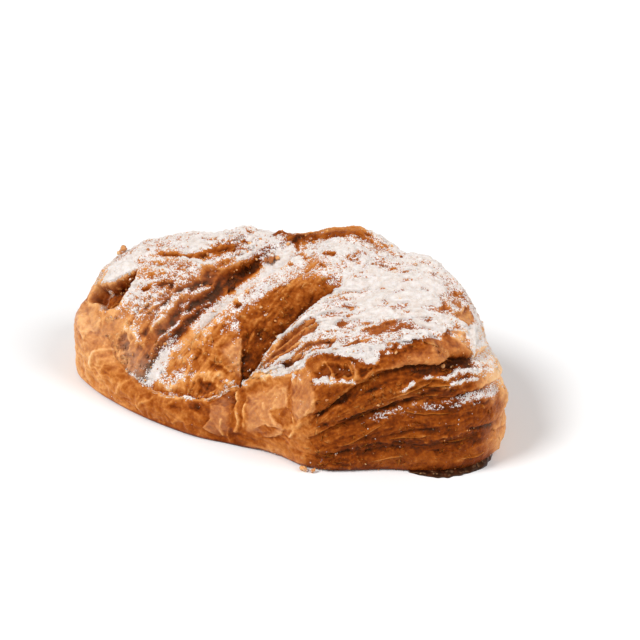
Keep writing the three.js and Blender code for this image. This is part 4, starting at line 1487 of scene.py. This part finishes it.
def leaves(skin, places, sizes, turns, free, curl, tilt, mesh, seed, thick=0.07, lift=0.04, ragged=0.3):
    """Thin torn leaves laid along a skin: their points, fields and faces.

    A leaf's outline is an ellipse with a ragged radius. It follows the skin, tucked in on one side and curled
    up towards its free side, and its under side runs close below the upper one.
    """
    wraps = skin["wraps"]
    column, row = (np.asarray(part, float) for part in places)
    length, width = (np.asarray(part, float)[:, None] for part in sizes)
    rho, phi, under_side = leaf_places(*mesh)
    number = np.arange(len(column))[:, None] * LEAF_SHIFT + seed
    round_trip = stack(np.cos(phi) + 0 * number, np.sin(phi) + 0 * number, number + 0 * phi)
    outline = 1 + ragged * noise(round_trip, 0.9, seed) + 0.5 * ragged * noise(round_trip, 0.3, seed + 1)
    a = rho * outline * np.cos(phi) * length
    b = rho * outline * np.sin(phi) * width
    turns = np.asarray(turns, float)[:, None]
    along = a * np.cos(turns) - b * np.sin(turns)
    up = a * np.sin(turns) + b * np.cos(turns)
    at = places_beside(skin, column, row, along, up)
    points = sampled(skin["soft"], *at, wraps)
    normals = sampled(skin["soft_normals"], *at, wraps)
    normals /= np.linalg.norm(normals, axis=-1, keepdims=True)

    free_side = rho * np.cos(phi - np.asarray(free, float)[:, None])
    open_part = smooth(-0.1, 1.0, free_side)
    crinkle = noise(points, 1.6, seed + 2) * 0.12 + noise(points, 4.0, seed + 3) * 0.25
    rise = lift + np.asarray(curl, float)[:, None] * open_part**2.5 * (1 + crinkle)
    rise += np.asarray(tilt, float)[:, None] * free_side + crinkle * 0.3
    rise -= 0.35 * rho**6 * (1 - open_part)
    rise -= np.where(under_side, thick * (1 - 0.5 * rho), 0)
    points = points + normals * rise[..., None]
    points[..., 2] = np.maximum(points[..., 2], np.where(under_side, JUST_CLEAR, 0.05))
    fields = {name: sampled(skin[name], *at, wraps) for name in SKIN_FIELDS}
    fields["bake"] = np.clip(fields["bake"] - 0.05 - 0.22 * rho**5 * open_part, 0, 1)
    fields["film"] = np.ones_like(fields["film"])
    rings, spokes = mesh
    return points, fields, closed_faces(len(column), 2 * rings - 1, spokes)


def add_leaves(name, batches, material):
    """One piece from several batches of leaves."""
    points = np.concatenate([batch[0].reshape(-1, 3) for batch in batches])
    starts = np.cumsum([0] + [batch[0].size // 3 for batch in batches])
    faces = [part + start for batch, start in zip(batches, starts) for part in batch[2]]
    fields = {key: np.concatenate([batch[1][key].ravel() for batch in batches]) for key in SKIN_FIELDS}
    return add_piece(name, points, faces, material, fields)


FILMS = [  # torn skins drawn one by one: middle, half length, half width, turn, free side and curl
    ((49, -27, 29.5), 8.0, 0.9, 0.35, -1.5, 0.7), ((58, -21, 31), 6.5, 0.9, 0.1, -1.5, 0.7),
    ((40, -30, 21), 9.0, 0.8, 0.3, -1.5, 0.4), ((55, -25, 22), 8.0, 0.8, 0.0, -1.5, 0.4),
    ((36, -32, 13), 8.0, 0.8, 0.25, -1.5, 0.4), ((50, -27.5, 14), 8.0, 0.9, 0.1, -1.5, 0.4),
    ((62, -21, 13), 6.0, 0.8, 0.0, -1.5, 0.4), ((44, -29, 6), 8.0, 0.9, 0.05, -1.5, 0.4),
    ((66, -17, 7), 5.0, 0.9, 0.0, -1.5, 0.4),
]
WALL_FILMS = (26, 1.2, 3.0)  # how many at random, and their least and greatest half length
TOP_FILMS = (8, 1.0, 2.0)
WALL_FLAKES = 1200
TOP_FLAKES = 1000
FILM_MESH = (7, 36)  # rings and spokes of a leaf
FLAKE_MESH = (2, 8)


def torn_skins(top, wall, material):
    """Thin skins over the folded edge and the cut end: those drawn one by one, and more at random."""
    rng = np.random.default_rng(21)
    places = np.array([nearest_place(wall, spot) for spot, *_ in FILMS], float).T
    sizes = np.array([(length, width) for _, length, width, *_ in FILMS]).T
    turns, free, curl = np.array([film[3:] for film in FILMS]).T
    batches = [leaves(wall, places, sizes, turns, free, curl, 0 * curl, FILM_MESH, seed=61)]
    for k, (skin, (count, small, large)) in enumerate(((wall, WALL_FILMS), (top, TOP_FILMS))):
        length = rng.uniform(small, large, count)
        width = length * rng.uniform(0.2, 0.5, count)
        places = random_places(skin, skin["loose"], count, rng)
        turns = rng.normal(0, 0.3, count)
        free = rng.choice([-1.5, -1.5, 1.5, 0.0], count)
        curl = rng.uniform(0.15, 0.45, count)
        batch = leaves(skin, places, (length, width), turns, free, curl, 0 * curl, FILM_MESH, seed=63 + 4 * k)
        batches.append(batch)
    return add_leaves("torn_skins", batches, material)


def small_flakes(top, wall, material):
    """Small loose flakes all over, thickest on the cut end, in the slashes and along the seam."""
    rng = np.random.default_rng(22)
    batches = []
    for k, (skin, count) in enumerate(((wall, WALL_FLAKES), (top, TOP_FLAKES))):
        length = 0.3 + 1.0 * rng.random(count) ** 2
        width = length * rng.uniform(0.3, 0.8, count)
        places = random_places(skin, skin["loose"], count, rng)
        turns = rng.uniform(0, np.pi, count)
        free = rng.uniform(0, 2 * np.pi, count)
        curl = rng.uniform(0.1, 0.4, count)
        tilt = rng.uniform(0.0, 0.2, count)
        batches.append(leaves(
            skin, places, (length, width), turns, free, curl, tilt, FLAKE_MESH, seed=71 + 4 * k,
            thick=0.09, lift=0.06, ragged=0.5,
        ))
    return add_leaves("small_flakes", batches, material)


def random_frames(count, rng):
    """Random right-handed frames: two random directions square to each other, and their cross product."""
    first = rng.normal(size=(count, 3))
    first /= np.linalg.norm(first, axis=1, keepdims=True)
    second = np.cross(first, rng.normal(size=(count, 3)))
    second /= np.linalg.norm(second, axis=1, keepdims=True)
    return np.stack([first, second, np.cross(first, second)], 1)


TOP_GRAINS = (17000, 0.004)  # how many, and the weight of a bare place, where a stray one may lie
WALL_GRAINS = (6000, 0.001)
GRAIN_CORNERS = np.concatenate([np.eye(3), -np.eye(3)])
GRAIN_SIDES = np.array([
    [0, 1, 2], [1, 3, 2], [3, 4, 2], [4, 0, 2], [1, 0, 5], [3, 1, 5], [4, 3, 5], [0, 4, 5],
])


def sugar_grains(top, wall, material):
    """Loose grains of sugar: small octahedra resting on the skins, thickest round the edges of the drifts."""
    rng = np.random.default_rng(23)
    points = []
    for skin, (count, stray) in ((top, TOP_GRAINS), (wall, WALL_GRAINS)):
        cover = skin["sugar"]
        weights = smooth(0.1, 0.4, cover) * (1 - 0.35 * smooth(0.8, 1.1, cover))
        at = random_places(skin, weights + stray, count, rng)
        middle = sampled(skin["points"], *at, skin["wraps"])
        normal = sampled(skin["normals"], *at, skin["wraps"])
        depth = 0.30 * smooth(0.62, 1.15, sampled(cover, *at, skin["wraps"]))
        size = 0.09 + 0.15 * rng.random(count) ** 2
        middle = middle + normal * (depth + 0.5 * size)[:, None]
        middle[:, 2] = np.maximum(middle[:, 2], size)
        points.append(middle[:, None, :] + size[:, None, None] * (GRAIN_CORNERS @ random_frames(count, rng)))
    each = len(GRAIN_CORNERS)
    points = np.concatenate(points).reshape(-1, 3)
    faces = (GRAIN_SIDES[None] + each * np.arange(len(points) // each)[:, None, None]).reshape(-1, 3)
    return add_piece("sugar_grains", points, [faces], material)


CRUMBS = [  # middle and radius of the crumbs that stand out
    ((-63.3, 9.5, 33.6), 1.5), ((-62.6, 9.2, 34.9), 1.1), ((-64.4, 10, 32.4), 1.3), ((-11, 11, 41), 1.6),
    ((-9.3, 11.5, 41.5), 1.0), ((-12.5, 10.5, 40.5), 1.0), ((-55, 8, 35), 0.8), ((21, -37.2, 1.0), 1.2),
    ((24, -36.8, 0.8), 0.9), ((-53.5, -3.5, 31.5), 0.7),
]
TOP_CRUMBS = 230
WALL_CRUMBS = 150
BLOB_MESH = (7, 12)  # rings and spokes of a crumb
BLOB_SQUEEZE = np.array([1.0, 0.8, 0.6])
BLOB_SHIFT = 5.3  # how far one crumb's raggedness lies from the next one's


def blobs(middles, sizes, frames, seed):
    """Rough lumps: spheres of rings and spokes squeezed by a frame, their radius uneven by noise."""
    rings, spokes = BLOB_MESH
    tilt = np.pi * np.arange(1, rings) / rings
    turn = 2 * np.pi * np.arange(spokes) / spokes
    from_axis = np.sin(tilt)[:, None]
    ring = stack(from_axis * np.cos(turn), from_axis * np.sin(turn), np.cos(tilt)[:, None])
    unit = np.concatenate([[[0, 0, 1.0]], ring.reshape(-1, 3), [[0, 0, -1.0]]])
    count = len(middles)
    spots = unit[None] + np.arange(count)[:, None, None] * BLOB_SHIFT
    radius = 1 + 0.5 * noise(spots, 0.9, seed) + 0.3 * noise(spots, 0.4, seed + 1)
    local = unit[None] * radius[..., None] * BLOB_SQUEEZE
    points = middles[:, None, :] + sizes[:, None, None] * (local @ frames)
    return points.reshape(-1, 3), closed_faces(count, rings - 1, spokes)


def crumbs(top, wall, material):
    """Crumbs: the few that stand out, and small ones lying about on the crust."""
    rng = np.random.default_rng(24)
    middles = [np.array([spot for spot, _ in CRUMBS], float)]
    sizes = [np.array([radius for _, radius in CRUMBS])]
    for skin, count in ((top, TOP_CRUMBS), (wall, WALL_CRUMBS)):
        at = random_places(skin, skin["loose"], count, rng)
        size = 0.2 + 0.5 * rng.random(count) ** 4
        normal = sampled(skin["normals"], *at, skin["wraps"])
        middles.append(sampled(skin["points"], *at, skin["wraps"]) + normal * (0.4 * size)[:, None])
        sizes.append(size)
    middles = np.concatenate(middles)
    sizes = np.concatenate(sizes)
    points, faces = blobs(middles, sizes, random_frames(len(sizes), rng), 81)
    points[:, 2] = np.maximum(points[:, 2], JUST_CLEAR)
    each = len(points) // len(sizes)
    tone = np.repeat(rng.uniform(0.12, 0.55, len(sizes)), each) + 0.1 * noise(points, 0.6, 83)
    dust = 0.25 * smooth(0.0, 1.0, np.sin(points[:, 2] * 3)) + 0.1
    fields = {"bake": tone, "sugar": dust, "haze": 0 * tone + 0.1, "film": 0 * tone + 0.3}
    return add_piece("crumbs", points, faces, material, fields)


FOOT_ENDS = (34.0, 65.0)  # lengths from the pinch between which the burnt foot lies
FOOT_SHARE = 0.965  # its middle's share of the way out
FOOT_MESH = (260, 28)  # steps along it and sides round it
FOOT_WIDTH = [(34, 0.8), (40, 1.8), (48, 2.3), (56, 2.0), (65, 1.0)]  # half its width
FOOT_HEIGHT = [(34, 0.5), (40, 1.4), (48, 1.8), (56, 2.6), (61, 2.8), (65, 1.5)]


def caramel_foot(material):
    """Burnt sugar under the cut end: a low lump along the base, ragged and tapering off at both ends."""
    steps, sides = FOOT_MESH
    s = np.linspace(*FOOT_ENDS, steps)
    t = np.linspace(0, 1, steps)
    ox, oy = outline_at(s)
    middle = stack(CROWN[0] + (ox - CROWN[0]) * FOOT_SHARE, CROWN[1] + (oy - CROWN[1]) * FOOT_SHARE, 0.0)
    way = np.gradient(middle, axis=0)
    way /= np.linalg.norm(way, axis=1, keepdims=True)
    upright = np.array([0.0, 0.0, 1.0])
    out = np.cross(way, upright)
    ends = np.sqrt(np.clip(1 - (2 * t - 1) ** 4, 0.02, 1))
    lumps = 1 + 0.45 * noise(middle, 6.0, 95) + 0.25 * noise(middle, 3.2, 96)
    turn = 2 * np.pi * np.arange(sides) / sides
    across = np.cos(turn)[None, :]
    up = np.maximum(np.sin(turn), 0)[None, :] ** 0.8
    ragged = 1 + 0.22 * noise(stack(s[:, None], 3 * across, 3 * up), 2.0, 97)
    reach = (through(FOOT_WIDTH, s) * ends * lumps)[:, None] * across * ragged
    height = (through(FOOT_HEIGHT, s) * ends * lumps)[:, None] * up * ragged + JUST_CLEAR
    points = middle[:, None] + out[:, None] * reach[..., None] + height[..., None] * upright
    ring = np.arange(sides)
    rings = [ring_faces(ring + (k + 1) * sides, ring + k * sides) for k in range(steps - 1)]
    last = (steps - 1) * sides + ring
    faces = [np.concatenate(rings), fan_faces(ring, steps * sides), fan_faces(last[::-1], steps * sides + 1)]
    points = np.concatenate([points.reshape(-1, 3), middle[[0, -1]] + JUST_CLEAR * upright])
    return add_piece("caramel_foot", points, faces, material)


# ------------------------------------------------
# Floor, light and camera
# ------------------------------------------------
VIEW_AZIMUTH = 24.0
VIEW_ELEVATION = 30.0
VIEW_DISTANCE = 540.0
VIEW_TARGET = np.array([5.0, -10.0, 22.0])
VIEW_SHIFT = (0.04375, 0.05)
VIEW_LENS = 100
VIEW_SENSOR = 36
VIEW_NEAREST = 0.01  # in metres
LIGHTS = (  # name, azimuth, elevation, the angle it fills and its strength
    ("key", -42, 48, 22, 2.4), ("back_fill", 90, 38, 40, 1.6),
)
LIGHT_DISTANCE = 2.0  # in metres
SKY_STRENGTH = 0.37
FLOOR_HALF = 4.0  # in metres


def aim(azimuth, elevation):
    """Unit direction from the piece towards a viewer at that azimuth and elevation."""
    a = math.radians(azimuth)
    e = math.radians(elevation)
    return np.array([math.sin(a) * math.cos(e), -math.cos(a) * math.cos(e), math.sin(e)])


def point_at(thing, azimuth, elevation):
    """Turns a camera or a light so that it looks back along the direction it stands in."""
    thing.rotation_euler = (math.radians(90 - elevation), 0, math.radians(azimuth))


def add_camera():
    """Camera at the viewing angle, long lens, with the shift that frames the piece."""
    data = bpy.data.cameras.new("camera")
    data.lens = VIEW_LENS
    data.sensor_width = VIEW_SENSOR
    data.shift_x, data.shift_y = VIEW_SHIFT
    data.clip_start = VIEW_NEAREST
    camera = bpy.data.objects.new("camera", data)
    camera.location = (VIEW_TARGET + VIEW_DISTANCE * aim(VIEW_AZIMUTH, VIEW_ELEVATION)) * MILLIMETRE
    point_at(camera, VIEW_AZIMUTH, VIEW_ELEVATION)
    bpy.context.collection.objects.link(camera)
    bpy.context.scene.camera = camera


def add_light(name, azimuth, elevation, softness, strength):
    """Far light, as even over the floor as on the piece; softness is the angle it fills, in degrees."""
    data = bpy.data.lights.new(name, "SUN")
    data.angle = math.radians(softness)
    data.energy = strength
    light = bpy.data.objects.new(name, data)
    light.location = LIGHT_DISTANCE * aim(azimuth, elevation)
    point_at(light, azimuth, elevation)
    bpy.context.collection.objects.link(light)


def add_surroundings():
    """Pale floor under an even white sky."""
    world = bpy.data.worlds.new("white_sky")
    bpy.context.scene.world = world
    world.use_nodes = True
    background = world.node_tree.nodes["Background"]
    background.inputs["Color"].default_value = (1, 1, 1, 1)
    background.inputs["Strength"].default_value = SKY_STRENGTH
    mesh = bpy.data.meshes.new("floor")
    corners = [(FLOOR_HALF * x, FLOOR_HALF * y, 0) for x, y in ((-1, -1), (1, -1), (1, 1), (-1, 1))]
    mesh.from_pydata(corners, [], [(0, 1, 2, 3)])
    mesh.materials.append(floor_finish())
    floor = bpy.data.objects.new("floor", mesh)
    bpy.context.collection.objects.link(floor)


# ------------------------------------------------
# Making everything
# ------------------------------------------------
def prepare(skin):
    """Adds to a skin what loose things lie along: an evened copy of it and that copy's normals."""
    skin["soft"] = softened(skin["points"], skin["wraps"], LOOSE_ROUNDS)
    skin["soft_normals"] = grid_normals(skin["soft"], skin["wraps"])


bpy.context.scene.view_settings.view_transform = "Standard"
add_camera()
add_surroundings()
for light in LIGHTS:
    add_light(*light)

top = make_top()
wall = make_wall()
prepare(top)
prepare(wall)

crust_material = crust_finish()
sugar_material = sugar_finish()
crust_top = closed_top(top, crust_material)
crust_wall = closed_wall(wall, crust_material)
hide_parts("pastry")
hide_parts("pastry")
sugar_layer("sugar_on_top", top, sugar_material, TOP_SUGAR_DEPTH)
sugar_layer("sugar_on_wall", wall, sugar_material, WALL_SUGAR_DEPTH)
sugar_grains(top, wall, grain_finish())
torn_skins(top, wall, crust_material)
small_flakes(top, wall, crust_material)
crumbs(top, wall, crust_material)
caramel_foot(caramel_finish())
